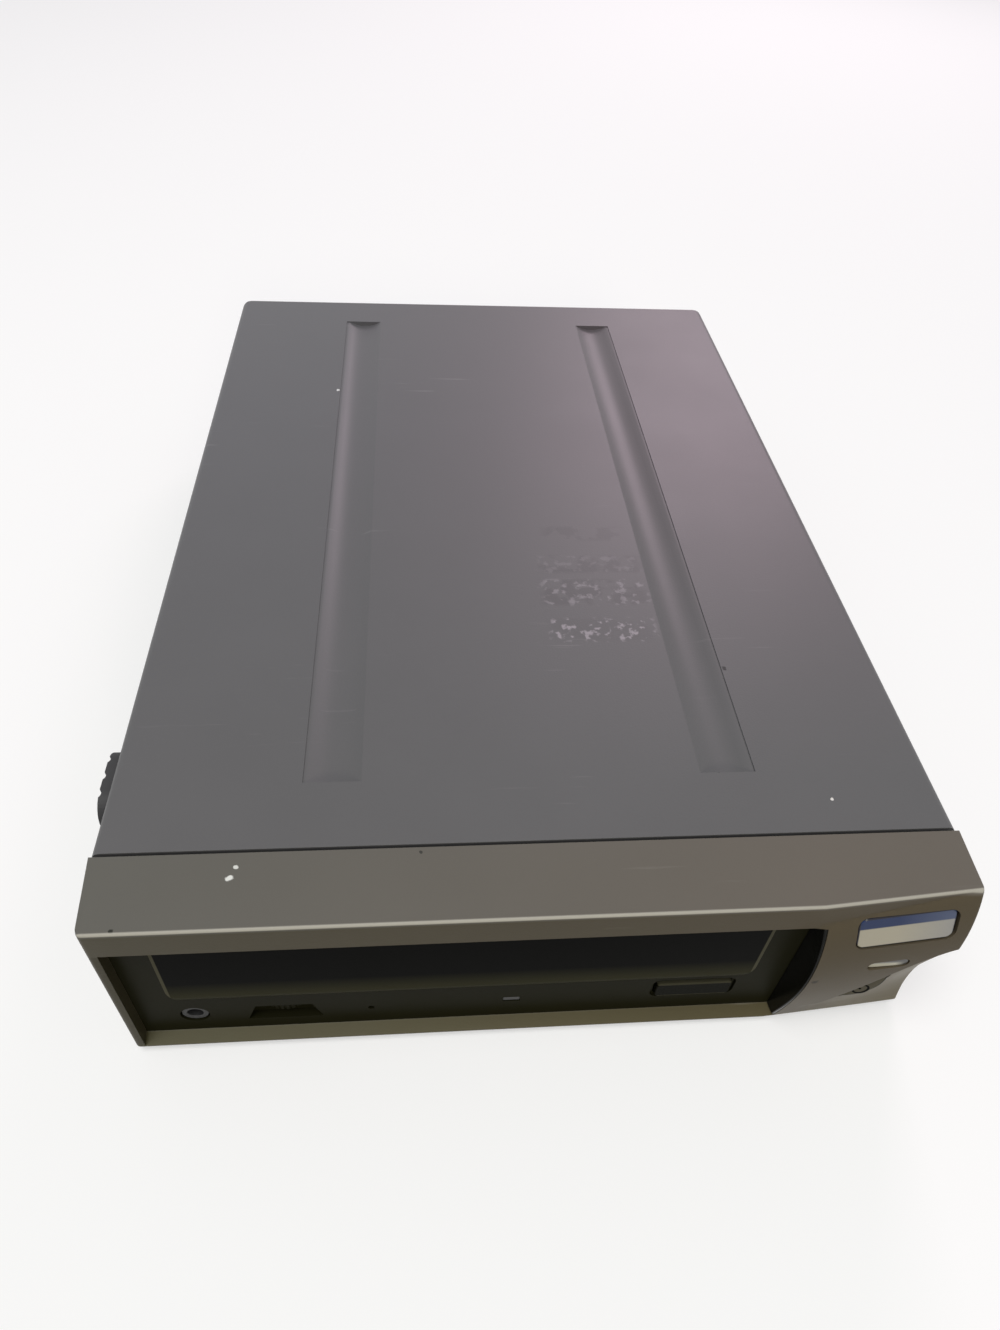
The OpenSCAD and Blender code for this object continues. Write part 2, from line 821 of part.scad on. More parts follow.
module base_tray() color([0.66, 0.65, 0.64]) in_case() difference() {
    union() {
        difference() {
            up_z(0, base_rim_h) high_round_rect(-cover_half, cover_half, cover_y, case_d, rear_corner_r);
            span([-inner_half, cover_y - cut, base_floor], [inner_half, case_d - cover_wall, base_rim_h + cut]);
        }
        both_sides() {
            span([inner_half - fit_gap - rim_tongue_t, cover_y + flange_l + fit_gap, base_floor / 2],
                [inner_half - fit_gap, panel_y - fit_gap, base_rim_h + rim_tongue_h]);
            span([inner_half - fit_gap - rim_tongue_t, cover_y + flange_l + fit_gap, base_floor / 2],
                [inner_half + cover_wall / 2, panel_y - fit_gap, base_rim_h]);
        }
        for (p = drive_holes)
            post(p.x, p.y, drive_pad_r, base_floor / 2, drive_z);
        for (p = concat(board_holes(psu_x, psu_y), board_holes(bridge_x, bridge_y))) {
            post(p.x, p.y, standoff_r, base_floor / 2, board_z);
            post(p.x, p.y, standoff_pin_r, board_z, board_top + standoff_pin_h);
        }
    }
    for (p = concat(drive_holes, boss_at)) {
        post(p.x, p.y, screw_head_r + fit_gap, -cut, screw_head_h);
        post(p.x, p.y, screw_hole_r, 0, drive_z + cut);
    }
    for (p = boss_at)
        post(p.x, p.y, boss_r + fit_gap, base_floor, base_rim_h + rim_tongue_h + cut);
}
module grille_slots() intersection() {
    circle(fan_bore_r);
    for (i = [0 : grille_n - 1])
        translate([(i - (grille_n - 1) / 2) * grille_pitch, 0])
            flat_rect(-grille_slot_w / 2, grille_slot_w / 2, -fan_size, fan_size);
}
module socket_outline(grow) {
    w = socket_w / 2 + grow;
    h = socket_h / 2 + grow;
    c = socket_corner;
    polygon([[-w, -h], [w, -h], [w, h - c], [w - c, h], [-w + c, h], [-w, h - c]]);
}
socket_z = board_top + socket_h / 2;
module rear_panel() color([0.55, 0.55, 0.57]) in_case() difference() {
    span([-inner_half + fit_gap, panel_y, base_floor],
        [inner_half - fit_gap, panel_y + panel_t, inner_top - fit_gap]);
    along_y(panel_y - cut, panel_y + panel_t + cut) {
        translate([fan_x, fan_z]) grille_slots();
        flat_rect(inlet_x - inlet_w / 2 - fit_gap, inlet_x + inlet_w / 2 + fit_gap,
            inlet_z - inlet_h / 2 - fit_gap, inlet_z + inlet_h / 2 + fit_gap);
        for (x = socket_x)
            translate([x, socket_z]) socket_outline(fit_gap);
        for (i = [0 : vent_n - 1])
            translate([(socket_x[0] + socket_x[1]) / 2 + (i - (vent_n - 1) / 2) * 2 * vent_slot_w, 0])
                flat_rect(-vent_slot_w / 2, vent_slot_w / 2, vent_slot_z, vent_slot_z + vent_slot_l);
        for (s = [-1, 1], z = rear_screw_z)
            translate([s * rear_screw_x, z]) circle(screw_hole_r);
        for (i = [-1, 1], j = [-1, 1])
            translate([fan_x + i * fan_pitch / 2, fan_z + j * fan_pitch / 2]) circle(screw_hole_r);
    }
}
control_bosses = [for (x = [control_x[0] + control_boss_in, control_x[1] - control_boss_in],
    z = [control_z[0] + control_boss_in, control_z[1] - control_boss_in]) [x, z]];
module front_bezel() color([0.6, 0.58, 0.55]) in_case() difference() {
    union() {
        difference() {
            face_solid(face_xs, 0, case_h, 0, bezel_d, edge_round, corner_round);
            face_solid(bay_xs, bezel_wall, case_h - bezel_wall, bezel_wall, bezel_d + cut);
            span([drive_x - drive_half - face_lip - nest_gap, opening_set, drive_z - face_drop - fit_gap],
                [drive_x + drive_half + face_lip + nest_gap, bezel_d + cut, case_h - bezel_wall]);
            span([opening_x, -bulge_outer, sill_h], [wall_x, opening_set + cut, bar_z]);
            along_x(opening_x, wall_x)
                polygon([[-cut, sill_front], [0, sill_front], [opening_set, sill_h], [opening_set, bar_z],
                    [-cut, bar_z]]);
        }
        // Tongue that reaches under the cover
        difference() {
            union() {
                span([-front_half + bezel_wall / 2, flange_y, base_rim_h + rim_tongue_h + fit_gap],
                    [front_half - bezel_wall / 2, bezel_d - cut, case_h - bezel_wall / 2]);
                span([-inner_half + fit_gap, flange_y, base_rim_h + rim_tongue_h + fit_gap],
                    [inner_half - fit_gap, cover_y + flange_l, inner_top - fit_gap]);
            }
            span([-inner_half + fit_gap + flange_t, flange_y - cut, 0],
                [inner_half - fit_gap - flange_t, cover_y + flange_l + cut, inner_top - fit_gap - flange_t]);
        }
        span([wall_x + rib_t, flange_y, base_floor + fit_gap],
            [inner_half - fit_gap - flange_t, cover_y + flange_l, base_floor + fit_gap + flange_t]);
        for (p = control_bosses)
            bar_y(p[0], p[1], control_boss_r, front_at(p[0], p[1]) + bezel_wall / 2, control_y);
    }
    label_place() translate([0, 0, -label_t]) linear_extrude(label_t + bulge_outer) label_outline(label_gap);
    slot_place() {
        along_y(-bulge_outer - slot_dip, slot_bottom) pill(slot_l, slot_h);
        along_y(-bulge_outer, control_y) circle(light_pipe_r + fit_gap);
    }
    along_y(-bulge_outer, control_y) leaf_outline(leaf_gap);
}
module opening_cheek() color([0.12, 0.12, 0.1]) in_case() intersection() {
    along_x(wall_x - cheek_flare, wall_x)
        polygon(concat([[opening_set, bar_z], [opening_set, sill_h]],
            [for (i = [0 : panel_columns]) let (z = sill_h + (bar_z - sill_h) * i / panel_columns)
                [front_at(wall_x, z), z]]));
    up_z(0, case_h)
        polygon([[wall_x - cheek_flare, opening_set], [wall_x - cheek_edge, -front_reach - cut],
            [wall_x, -front_reach - cut], [wall_x, opening_set]]);
}
module label_window() color([0.45, 0.55, 0.7]) in_case() label_place()
    translate([0, 0, -label_t]) linear_extrude(label_t) label_outline(0);
module indicator_lens() color([0.75, 0.8, 0.75]) in_case() slot_place() {
    along_y(slot_bottom - lens_t, slot_bottom) pill(slot_l - fit_gap, slot_h - fit_gap);
    bar_y(0, 0, light_pipe_r, slot_bottom - lens_t / 2, control_y - lamp_w - nose_gap);
}
module power_button() color([0.7, 0.7, 0.7]) in_case() {
    intersection() {
        along_y(-bulge_outer, leaf_back) leaf_outline(0);
        face_solid(leaf_xs, bezel_wall, case_h / 2 + leaf_l, -leaf_proud, leaf_back);
    }
    intersection() {
        along_y(-bulge_outer, leaf_back) leaf_outline(leaf_gap + leaf_flange);
        face_solid(leaf_xs, bezel_wall, case_h / 2 + leaf_l, bezel_wall + run_gap, leaf_back);
    }
    bar_y(leaf_mid[0], leaf_mid[1], button_stem_r, leaf_back - cut,
        control_y - switch_t - switch_nose_l - button_travel - nose_gap);
}
module control_board() color([0.1, 0.35, 0.2]) in_case() {
    span([control_x[0], control_y, control_z[0]], [control_x[1], control_y + board_t, control_z[1]]);
    span([slot_x - lamp_w / 2, control_y - lamp_w, slot_z - lamp_w / 2],
        [slot_x + lamp_w / 2, control_y, slot_z + lamp_w / 2]);
}
module power_switch() color([0.15, 0.15, 0.15]) in_case() {
    span([leaf_mid[0] - switch_w / 2, control_y - switch_t, leaf_mid[1] - switch_w / 2],
        [leaf_mid[0] + switch_w / 2, control_y, leaf_mid[1] + switch_w / 2]);
    bar_y(leaf_mid[0], leaf_mid[1], switch_nose_r, control_y - switch_t - switch_nose_l, control_y - switch_t);
}
module base_feet() color([0.1, 0.1, 0.1]) in_case()
    for (x = [-cover_half + foot_inset_x, cover_half - foot_inset_x], y = foot_y)
        translate([x, y, -foot_h]) {
            cylinder(r1 = foot_r - foot_bevel, r2 = foot_r, h = foot_bevel);
            translate([0, 0, foot_bevel]) cylinder(r = foot_r, h = foot_h - foot_bevel);
        }
module side_feet() color([0.1, 0.1, 0.1]) in_case()
    for (i = [0 : len(side_foot_y) - 1])
        translate([-cover_half, side_foot_y[i], side_foot_z[i]]) difference() {
            along_x(-side_foot_proud, 0) pill(side_foot_l, side_foot_w);
            for (k = [1 : side_rib_n - 1])
                translate([-side_foot_proud - side_rib_cut_r + side_rib_dip,
                    (k / side_rib_n - 1 / 2) * side_foot_l, -side_foot_w])
                    cylinder(r = side_rib_cut_r, h = 2 * side_foot_w);
        }
module base_screws() color([0.75, 0.75, 0.75]) in_case() {
    for (p = drive_holes)
        screw_up(p.x, p.y, 0, screw_l);
    for (p = boss_at)
        screw_up(p.x, p.y, 0, long_screw_l);
}
module rear_screws() color([0.75, 0.75, 0.75]) in_case()
    for (s = [-1, 1], z = rear_screw_z)
        screw_in(s * rear_screw_x, z, case_d, screw_l);

// Fan: its frame's front lies at y = 0 here, and its struts at the panel
module fan_place() in_case() translate([fan_x, panel_y - fan_t, fan_z]) children();
module fan_frame() color([0.12, 0.12, 0.12]) fan_place() {
    difference() {
        along_y(0, fan_t)
            round_rect(-fan_size / 2, fan_size / 2, -fan_size / 2, fan_size / 2, fan_corner_r);
        bar_y(0, 0, fan_bore_r, -cut, fan_t + cut);
        for (i = [-1, 1], j = [-1, 1])
            bar_y(i * fan_pitch / 2, j * fan_pitch / 2, fan_hole_r, -cut, fan_t + cut);
    }
    for (a = [0 : 90 : 270])
        rotate([0, a, 0])
            span([fan_hub_r - cut, fan_t - fan_strut_t, -fan_strut_w / 2],
                [fan_bore_r + cut, fan_t, fan_strut_w / 2]);
    bar_y(0, 0, fan_hub_r, fan_t - fan_strut_t, fan_t);
    bar_y(0, 0, fan_collar_r, fan_rotor_set + fan_rotor_l + run_gap, fan_t - fan_strut_t);
    bar_y(0, 0, fan_shaft_r, fan_shaft_set, fan_t - fan_strut_t);
}
module fan_rotor() color([0.18, 0.18, 0.2]) fan_place() difference() {
    union() {
        bar_y(0, 0, fan_hub_r, fan_rotor_set, fan_rotor_set + fan_rotor_l);
        intersection() {
            bar_y(0, 0, fan_blade_tip_r, fan_rotor_set, fan_rotor_set + fan_rotor_l);
            for (i = [0 : fan_blade_n - 1])
                rotate([0, i * 360 / fan_blade_n, 0])
                    translate([fan_hub_r - cut, fan_rotor_set + fan_rotor_l / 2, 0]) rotate([fan_blade_turn, 0, 0])
                        translate([0, -fan_blade_t / 2, -fan_blade_l / 2])
                            cube([fan_blade_tip_r, fan_blade_t, fan_blade_l]);
        }
    }
    bar_y(0, 0, fan_shaft_r + pin_gap, 0, fan_t);
}
module fan_screws() color([0.75, 0.75, 0.75]) in_case()
    for (i = [-1, 1], j = [-1, 1])
        screw_in(fan_x + i * fan_pitch / 2, fan_z + j * fan_pitch / 2, panel_y + panel_t + screw_head_h,
            fan_screw_l);

module well_outline() {
    w = inlet_well_w / 2;
    h = inlet_well_h / 2;
    c = inlet_corner;
    polygon([[-w, -h], [w, -h], [w, h - c], [w - c, h], [-w + c, h], [-w, h - c]]);
}
inlet_mouth = panel_y + panel_t + inlet_rim_t;
module power_inlet() color([0.1, 0.1, 0.1]) in_case() translate([inlet_x, 0, inlet_z]) {
    difference() {
        union() {
            along_y(inlet_mouth - inlet_l, inlet_mouth)
                flat_rect(-inlet_w / 2, inlet_w / 2, -inlet_h / 2, inlet_h / 2);
            along_y(panel_y + panel_t, inlet_mouth)
                round_rect(-inlet_w / 2 - inlet_rim, inlet_w / 2 + inlet_rim, -inlet_h / 2 - inlet_rim,
                    inlet_h / 2 + inlet_rim, inlet_rim);
        }
        along_y(inlet_mouth - inlet_well_l, inlet_mouth + cut) well_outline();
    }
    for (p = [[-inlet_pin_pitch / 2, -inlet_earth_rise / 2], [inlet_pin_pitch / 2, -inlet_earth_rise / 2],
        [0, inlet_earth_rise / 2]])
        span([p[0] - inlet_pin_w / 2, inlet_mouth - inlet_well_l - cut, p[1] - inlet_pin_h / 2],
            [p[0] + inlet_pin_w / 2, inlet_mouth - inlet_pin_set, p[1] + inlet_pin_h / 2]);
    for (x = [-inlet_pin_pitch / 2, inlet_pin_pitch / 2])
        span([x - inlet_pin_w / 2, inlet_mouth - inlet_l - inlet_tab_l, -inlet_pin_h / 2],
            [x + inlet_pin_w / 2, inlet_mouth - inlet_l + cut, inlet_pin_h / 2]);
}

// A board on its standoffs' pins
module pinned_board(x, y) difference() {
    span([x[0], y[0], board_z], [x[1], y[1], board_top]);
    for (p = board_holes(x, y))
        post(p.x, p.y, standoff_pin_r + pin_gap, board_z - cut, board_top + cut);
}
module psu_board() color([0.55, 0.45, 0.25]) in_case() pinned_board(psu_x, psu_y);
module psu_transformer() color([0.75, 0.65, 0.25]) in_case() translate([psu_mid, core_y, board_top]) {
    difference() {
        span([-core_w / 2, -core_l / 2, 0], [core_w / 2, core_l / 2, core_h]);
        span([-core_w / 2 + core_limb, -core_l / 2 - cut, core_limb / 2],
            [core_w / 2 - core_limb, core_l / 2 + cut, core_h - core_limb]);
    }
    span([-core_w / 2 + core_limb, -coil_l / 2, core_limb / 2],
        [core_w / 2 - core_limb, coil_l / 2, core_h - core_limb]);
}
module psu_capacitors() color([0.12, 0.14, 0.3]) in_case() {
    post(psu_mid, can_y, can_r, board_top, board_top + can_h);
    for (y = can_small_y)
        post(psu_mid, y, can_small_r, board_top, board_top + can_small_h);
}
module psu_heatsink() color([0.8, 0.8, 0.8]) in_case() {
    x1 = psu_x[1] - sink_back;
    span([x1 - sink_t, sink_y[0], board_top], [x1, sink_y[1], board_top + sink_h]);
    for (i = [0 : sink_fin_n - 1])
        translate([0, sink_y[0] + (sink_y[1] - sink_y[0] - sink_t / 2) * i / (sink_fin_n - 1), 0])
            span([x1 - sink_t - sink_fin_l, 0, board_top], [x1 - sink_t / 2, sink_t / 2, board_top + sink_h]);
}
module bridge_board() color([0.1, 0.35, 0.2]) in_case() pinned_board(bridge_x, bridge_y);
header_x = drive_x + rear_block_x[1];
module bridge_chips() color([0.12, 0.12, 0.12]) in_case() {
    span([header_x - header_w / 2, header_y, board_top],
        [header_x + header_w / 2, header_y + header_l, board_top + header_h]);
    span([chip_at[0] - chip_w / 2, chip_at[1] - chip_w / 2, board_top],
        [chip_at[0] + chip_w / 2, chip_at[1] + chip_w / 2, board_top + chip_t]);
    span([small_chip_at[0] - small_chip_w / 2, small_chip_at[1] - small_chip_l / 2, board_top],
        [small_chip_at[0] + small_chip_w / 2, small_chip_at[1] + small_chip_l / 2, board_top + chip_t]);
}
socket_mouth = panel_y + panel_t + socket_proud;
module data_sockets() color([0.8, 0.8, 0.82]) in_case()
    for (x = socket_x)
        translate([x, 0, socket_z]) {
            difference() {
                along_y(socket_mouth - socket_l, socket_mouth) socket_outline(0);
                along_y(socket_mouth - socket_l + socket_floor, socket_mouth + cut)
                    socket_outline(-socket_wall);
            }
            span([-tongue_w / 2, socket_mouth - socket_l + socket_floor - cut, -tongue_t / 2],
                [tongue_w / 2, socket_mouth - tongue_set, tongue_t / 2]);
        }

// Cables: the ribbon bends from the drive's plug to the board's header
drive_back = opening_set + drive_l;
module ribbon_cable() color([0.6, 0.6, 0.62]) in_case() {
    plug_z = [drive_z + main_top, drive_z + main_top + rear_block_h];
    bend_z = board_top + header_h + ribbon_plug_t / 2;
    bend_y = drive_back + ribbon_plug_t / 2;
    span([header_x - header_w / 2, drive_back, plug_z[0]],
        [header_x + header_w / 2, drive_back + ribbon_plug_t, plug_z[1]]);
    span([header_x - header_w / 2, header_y, board_top + header_h],
        [header_x + header_w / 2, header_y + header_l, board_top + header_h + ribbon_plug_t]);
    span([header_x - ribbon_w / 2, bend_y - ribbon_t / 2, plug_z[1] - cut],
        [header_x + ribbon_w / 2, bend_y + ribbon_t / 2, bend_z - ribbon_bend_r]);
    translate([0, bend_y + ribbon_bend_r, bend_z - ribbon_bend_r])
        along_x(header_x - ribbon_w / 2, header_x + ribbon_w / 2) intersection() {
            difference() {
                circle(ribbon_bend_r + ribbon_t / 2);
                circle(ribbon_bend_r - ribbon_t / 2);
            }
            flat_rect(-2 * ribbon_bend_r, 0, 0, 2 * ribbon_bend_r);
        }
    span([header_x - ribbon_w / 2, bend_y + ribbon_bend_r, bend_z - ribbon_t / 2],
        [header_x + ribbon_w / 2, header_y + cut, bend_z + ribbon_t / 2]);
}
// Four wires, one over the other, from the drive's supply plug to the power supply
module power_lead() color([0.75, 0.2, 0.15]) in_case() {
    x0 = drive_x + rear_block_x[2];
    y0 = drive_back + plug_l;
    span([x0 - rear_block_w[2] / 2, drive_back, board_top], [x0 + rear_block_w[2] / 2, y0, board_top + plug_h]);
    span([psu_x[0], lead_y - plug_w / 2, board_top], [psu_x[0] + plug_l, lead_y + plug_w / 2, board_top + plug_h]);
    for (i = [0 : wire_n - 1])
        translate([0, 0, board_top + plug_h / 2 + (i - (wire_n - 1) / 2) * wire_pitch]) {
            bar_y(x0, 0, wire_r, y0 - cut, lead_y - wire_bend_r);
            translate([x0 + wire_bend_r, lead_y - wire_bend_r, 0]) rotate(90)
                rotate_extrude(angle = 90) translate([wire_bend_r, 0]) circle(wire_r);
            bar_x(lead_y, 0, wire_r, x0 + wire_bend_r, psu_x[0] + cut);
        }
}
module control_lead() color([0.6, 0.6, 0.62]) in_case() {
    y0 = control_y + board_t;
    y1 = psu_y[0] + board_t;
    span([psu_mid - plug_w / 2, y0, board_top], [psu_mid + plug_w / 2, y0 + plug_l, board_top + plug_h]);
    span([psu_mid - strip_t / 2, y0 + plug_l, board_top], [psu_mid + strip_t / 2, y1, board_top + plug_h]);
    span([psu_mid - plug_w / 2, y1, board_top], [psu_mid + plug_w / 2, y1 + plug_l, board_top + plug_h]);
}

// Drive: case, pan and bezel
module drive_case() color([0.75, 0.75, 0.76]) in_drive() difference() {
    along_y(face_t, drive_l) difference() {
        flat_rect(-drive_half, drive_half, sheet + fit_gap, drive_h);
        flat_rect(-drive_half + sheet, drive_half - sheet, 0, drive_h - sheet);
    }
    for (z = side_hole_z, y = [hole_first_y, hole_first_y + hole_gauge])
        bar_x(y, z, side_hole_r, -drive_w, drive_w);
}
module drive_pan() color([0.7, 0.7, 0.72]) in_drive() difference() {
    union() {
        span([-drive_half, face_t, 0], [drive_half, drive_l, sheet]);
        both_sides() {
            span([side_out - sheet, face_d, sheet / 2], [side_out, drive_l - sheet, side_z[0] - fit_gap]);
            span([side_out - rear_strut_w, drive_l - sheet, 0], [side_out, drive_l, rear_cut_h + cut]);
        }
        span([-side_out, drive_l - sheet, rear_cut_h], [side_out, drive_l, drive_h - sheet - fit_gap]);
    }
    for (s = [-1, 1], i = [0, 1])
        post(s * hole_half, hole_first_y + i * hole_gauge, screw_hole_r, -cut, screw_l - drive_z + fit_gap);
}
module door_outline(grow) low_round_rect(-door_w / 2 - grow, door_w / 2 + grow, door_z - grow,
    door_z + door_h + grow, door_corner_r + grow);
module drive_bezel() color([0.12, 0.12, 0.1]) in_drive() difference() {
    union() {
        span([-drive_half - face_lip, 0, -face_drop], [drive_half + face_lip, face_t, drive_h + face_rise]);
        both_sides()
            span([drive_half + face_lip - skirt_t, 0, -face_drop],
                [drive_half + face_lip, face_d, drive_h + face_rise]);
        span([-drive_half - face_lip, 0, -face_drop], [drive_half + face_lip, face_d, -face_drop + skirt_t]);
        span([dial_x - dial_low_w / 2, face_t / 2, dial_z[0] - skirt_t],
            [dial_x + dial_low_w / 2, dial_d + dial_back_t, dial_z[1] + skirt_t]);
    }
    along_y(-cut, face_t + cut) {
        door_outline(door_gap);
        translate([jack_x, jack_z]) circle(jack_hole_r);
        translate([pin_hole_x, pin_hole_z]) circle(pin_hole_r);
        translate([lamp_x, lamp_z]) flat_rect(-lamp_window_w / 2, lamp_window_w / 2, -lamp_window_h / 2,
            lamp_window_h / 2);
        translate([eject_x, eject_z]) round_rect(-eject_w / 2 - eject_gap, eject_w / 2 + eject_gap,
            -eject_h / 2 - eject_gap, eject_h / 2 + eject_gap, eject_corner_r);
    }
    along_y(-cut, dial_d)
        polygon([[dial_x - dial_low_w / 2, dial_z[0]], [dial_x + dial_low_w / 2, dial_z[0]],
            [dial_x + dial_high_w / 2, dial_z[1]], [dial_x - dial_high_w / 2, dial_z[1]]]);
    span([dial_x - dial_slot_w / 2, -cut, wheel_z - wheel_gap],
        [dial_x + dial_slot_w / 2, face_d, wheel_z + wheel_t + wheel_gap]);
    along_y(-cut, eject_rim_d)
        translate([eject_x, eject_z]) round_rect(-eject_w / 2 - eject_rim, eject_w / 2 + eject_rim,
            -eject_h / 2 - eject_rim, eject_h / 2 + eject_rim, eject_corner_r + eject_rim);
}
module tray_door() color([0.14, 0.14, 0.12]) in_drive() intersection() {
    along_y(-door_proud, face_t) door_outline(0);
    along_x(-door_w, door_w) {
        flat_rect(-door_proud, face_t, door_z + door_band_h, door_z + door_h);
        intersection() {
            flat_rect(-door_proud, face_t, door_z, door_z + door_band_h + cut);
            translate([door_band_r - door_proud, door_z + door_band_h]) circle(door_band_r);
        }
    }
}
module disc_tray() color([0.15, 0.15, 0.16]) in_drive() {
    y0 = face_t + tray_front_t;
    difference() {
        span([-tray_half, y0, tray_z], [tray_half, tray_y1, tray_top]);
        post(0, hub_y, disc_r + disc_play, tray_top - disc_dip, tray_top + cut);
        post(0, hub_y, small_disc_r, tray_top - disc_dip - small_disc_dip, tray_top);
        post(0, hub_y, hub_hole_r, tray_z - cut, tray_top);
        span([-slot_half, hub_y, tray_z - cut], [slot_half, slot_end_y, tray_top + cut]);
        both_sides()
            span([disc_r - notch_in, hub_y - notch_l / 2, tray_top - disc_dip],
                [tray_half + cut, hub_y + notch_l / 2, tray_top + cut]);
    }
    span([-tray_front_half, face_t, tray_front_z[0]], [tray_front_half, y0, tray_front_z[1]]);
    both_sides()
        span([skirt_x - tray_skirt_t, y0, tray_z - tray_skirt_h], [skirt_x, tray_y1, tray_z]);
    up_z(rack_z, tray_z) rack_outline();
}

// Teeth: involute flanks for the gears, straight ones for the rack
function involute(a) = tan(a) * 180 / PI - a;
function tooth_half_at(r, pitch) = let (base = pitch * cos(pressure))
    (PI * tooth_m / 2 - backlash) / pitch / 2 * 180 / PI + involute(pressure)
    - (r > base ? involute(acos(base / r)) : 0);
function tooth_radii(pitch) = let (foot = pitch - tooth_foot_share * tooth_m,
    low = max(pitch * cos(pressure), foot), high = pitch + tooth_top_share * tooth_m)
    concat([foot], [for (s = flank_shares) let (r = low + (high - low) * s) if (r > foot) r]);
module gear_outline(teeth, turn) {
    pitch = tooth_m * teeth / 2;
    rs = tooth_radii(pitch);
    n = len(rs);
    polygon([for (k = [0 : teeth - 1], side = [-1, 1], j = [0 : n - 1])
        let (r = rs[side < 0 ? j : n - 1 - j], a = turn + k * 360 / teeth + side * tooth_half_at(r, pitch))
        [r * cos(a), r * sin(a)]]);
}
module rack_outline() {
    top = tooth_top_share * tooth_m;
    foot = tooth_foot_share * tooth_m;
    half = (PI * tooth_m / 2 - backlash) / 2;
    pitch = PI * tooth_m;
    first = ceil((rack_y[0] - gear_y) / pitch);
    last = floor((rack_y[1] - gear_y) / pitch) - 1;
    polygon(concat([[rack_x - foot - rack_w, rack_y[0]], [rack_x - foot, rack_y[0]]],
        [for (k = [first : last], q = [[-1, -foot], [-1, top], [1, top], [1, -foot]])
            [rack_x + q[1], gear_y + (k + 1 / 2) * pitch + q[0] * (half - q[1] * tan(pressure))]],
        [[rack_x - foot, rack_y[1]], [rack_x - foot - rack_w, rack_y[1]]]));
}
module loading_frame() color([0.2, 0.2, 0.21]) in_drive() difference() {
    union() {
        both_sides() {
            span([side_in, deck_y[0], side_z[0]], [side_out, side_y1, side_z[1]]);
            span([rail_in, deck_y[0], tray_z - run_gap - rail_t], [side_out, side_y1, tray_z - run_gap]);
            span([tray_half + run_gap, deck_y[0], tray_z - run_gap - rail_t],
                [tray_half + run_gap + guide_t, side_y1, tray_top + run_gap]);
            for (y = hook_y)
                span([tray_half - hook_reach, y, tray_top + run_gap],
                    [tray_half + run_gap + guide_t, y + hook_l, tray_top + run_gap + hook_t]);
            for (y = block_y)
                span([side_in - block_w, y, sheet], [side_in, y + block_w, deck_z + deck_t / 2]);
            // Ear that carries the tipping frame's pin
            bar_x(pivot_y, pivot_z, ear_r, lift_half + ear_gap, lift_half + ear_gap + ear_t);
            span([lift_half + ear_gap, pivot_y, deck_z], [lift_half + ear_gap + ear_t, rear_bar_y[0] + cut, deck_top]);
        }
        span([-side_out, deck_y[0], deck_z], [side_out, deck_y[1], deck_top]);
        span([-side_out, rear_bar_y[0], deck_z], [side_out, rear_bar_y[1], deck_top]);
        post(gear_x, gear_y, gear_post_r, deck_top, teeth_z[1]);
        post(pulley_x, gear_y, gear_post_r, deck_top, teeth_z[1]);
    }
    both_sides()
        bar_x(pivot_y, pivot_z, pivot_r + pin_gap, lift_half, lift_half + ear_gap + ear_t + cut);
    post(motor_x, motor_y, gear_post_r, deck_z - cut, deck_top + cut);
}
module loading_gear() color([0.9, 0.9, 0.88]) in_drive() translate([gear_x, gear_y, 0]) difference() {
    union() {
        up_z(teeth_z[0], teeth_z[1]) gear_outline(gear_teeth, 0);
        post(0, 0, gear_hub_r, gear_z, teeth_z[0] + cut);
    }
    up_z(teeth_z[0] + gear_web_t, teeth_z[1] + cut) difference() {
        circle(gear_rim_r);
        circle(gear_hub_r);
    }
    post(0, 0, gear_post_r + pin_gap, 0, drive_h);
}
module groove(r) translate([0, 0, gear_z + (pulley_h - pulley_groove_w) / 2])
    linear_extrude(pulley_groove_w) difference() {
        circle(r + cut);
        circle(r - pulley_groove);
    }
module pulley_gear() color([0.9, 0.9, 0.88]) in_drive() translate([pulley_x, gear_y, 0]) difference() {
    union() {
        post(0, 0, pulley_r, gear_z, gear_z + pulley_h);
        up_z(gear_z + pulley_h - cut, teeth_z[1]) gear_outline(pinion_teeth, 180 / pinion_teeth);
    }
    groove(pulley_r);
    post(0, 0, gear_post_r + pin_gap, 0, drive_h);
}
module motor_pulley() color([0.85, 0.85, 0.8]) in_drive() translate([motor_x, motor_y, 0]) difference() {
    post(0, 0, motor_pulley_r, gear_z, gear_z + pulley_h);
    groove(motor_pulley_r);
    post(0, 0, motor_shaft_r + pin_gap, 0, drive_h);
}
// Round the two pulleys, with straight runs on their tangents
module belt_outline(grow) {
    d = [motor_x - pulley_x, motor_y - gear_y];
    l = norm(d);
    r0 = pulley_r - pulley_groove + pin_gap + grow;
    r1 = motor_pulley_r - pulley_groove + pin_gap + grow;
    a = atan2(d[1], d[0]);
    b = acos((r0 - r1) / l);
    polygon(concat(
        [for (i = [0 : belt_steps]) let (t = a + b + (360 - 2 * b) * i / belt_steps) r0 * [cos(t), sin(t)]],
        [for (i = [0 : belt_steps]) let (t = a - b + 2 * b * i / belt_steps) d + r1 * [cos(t), sin(t)]]));
}
module loading_belt() color([0.05, 0.05, 0.05]) in_drive() translate([pulley_x, gear_y, 0])
    up_z(gear_z + (pulley_h - belt_h) / 2, gear_z + (pulley_h + belt_h) / 2) difference() {
        belt_outline(belt_t);
        belt_outline(0);
    }
module loading_motor() color([0.7, 0.7, 0.72]) in_drive() {
    post(motor_x, motor_y, motor_r, motor_z, deck_z);
    post(motor_x, motor_y, motor_shaft_r, deck_z - cut, gear_z + pulley_h);
}
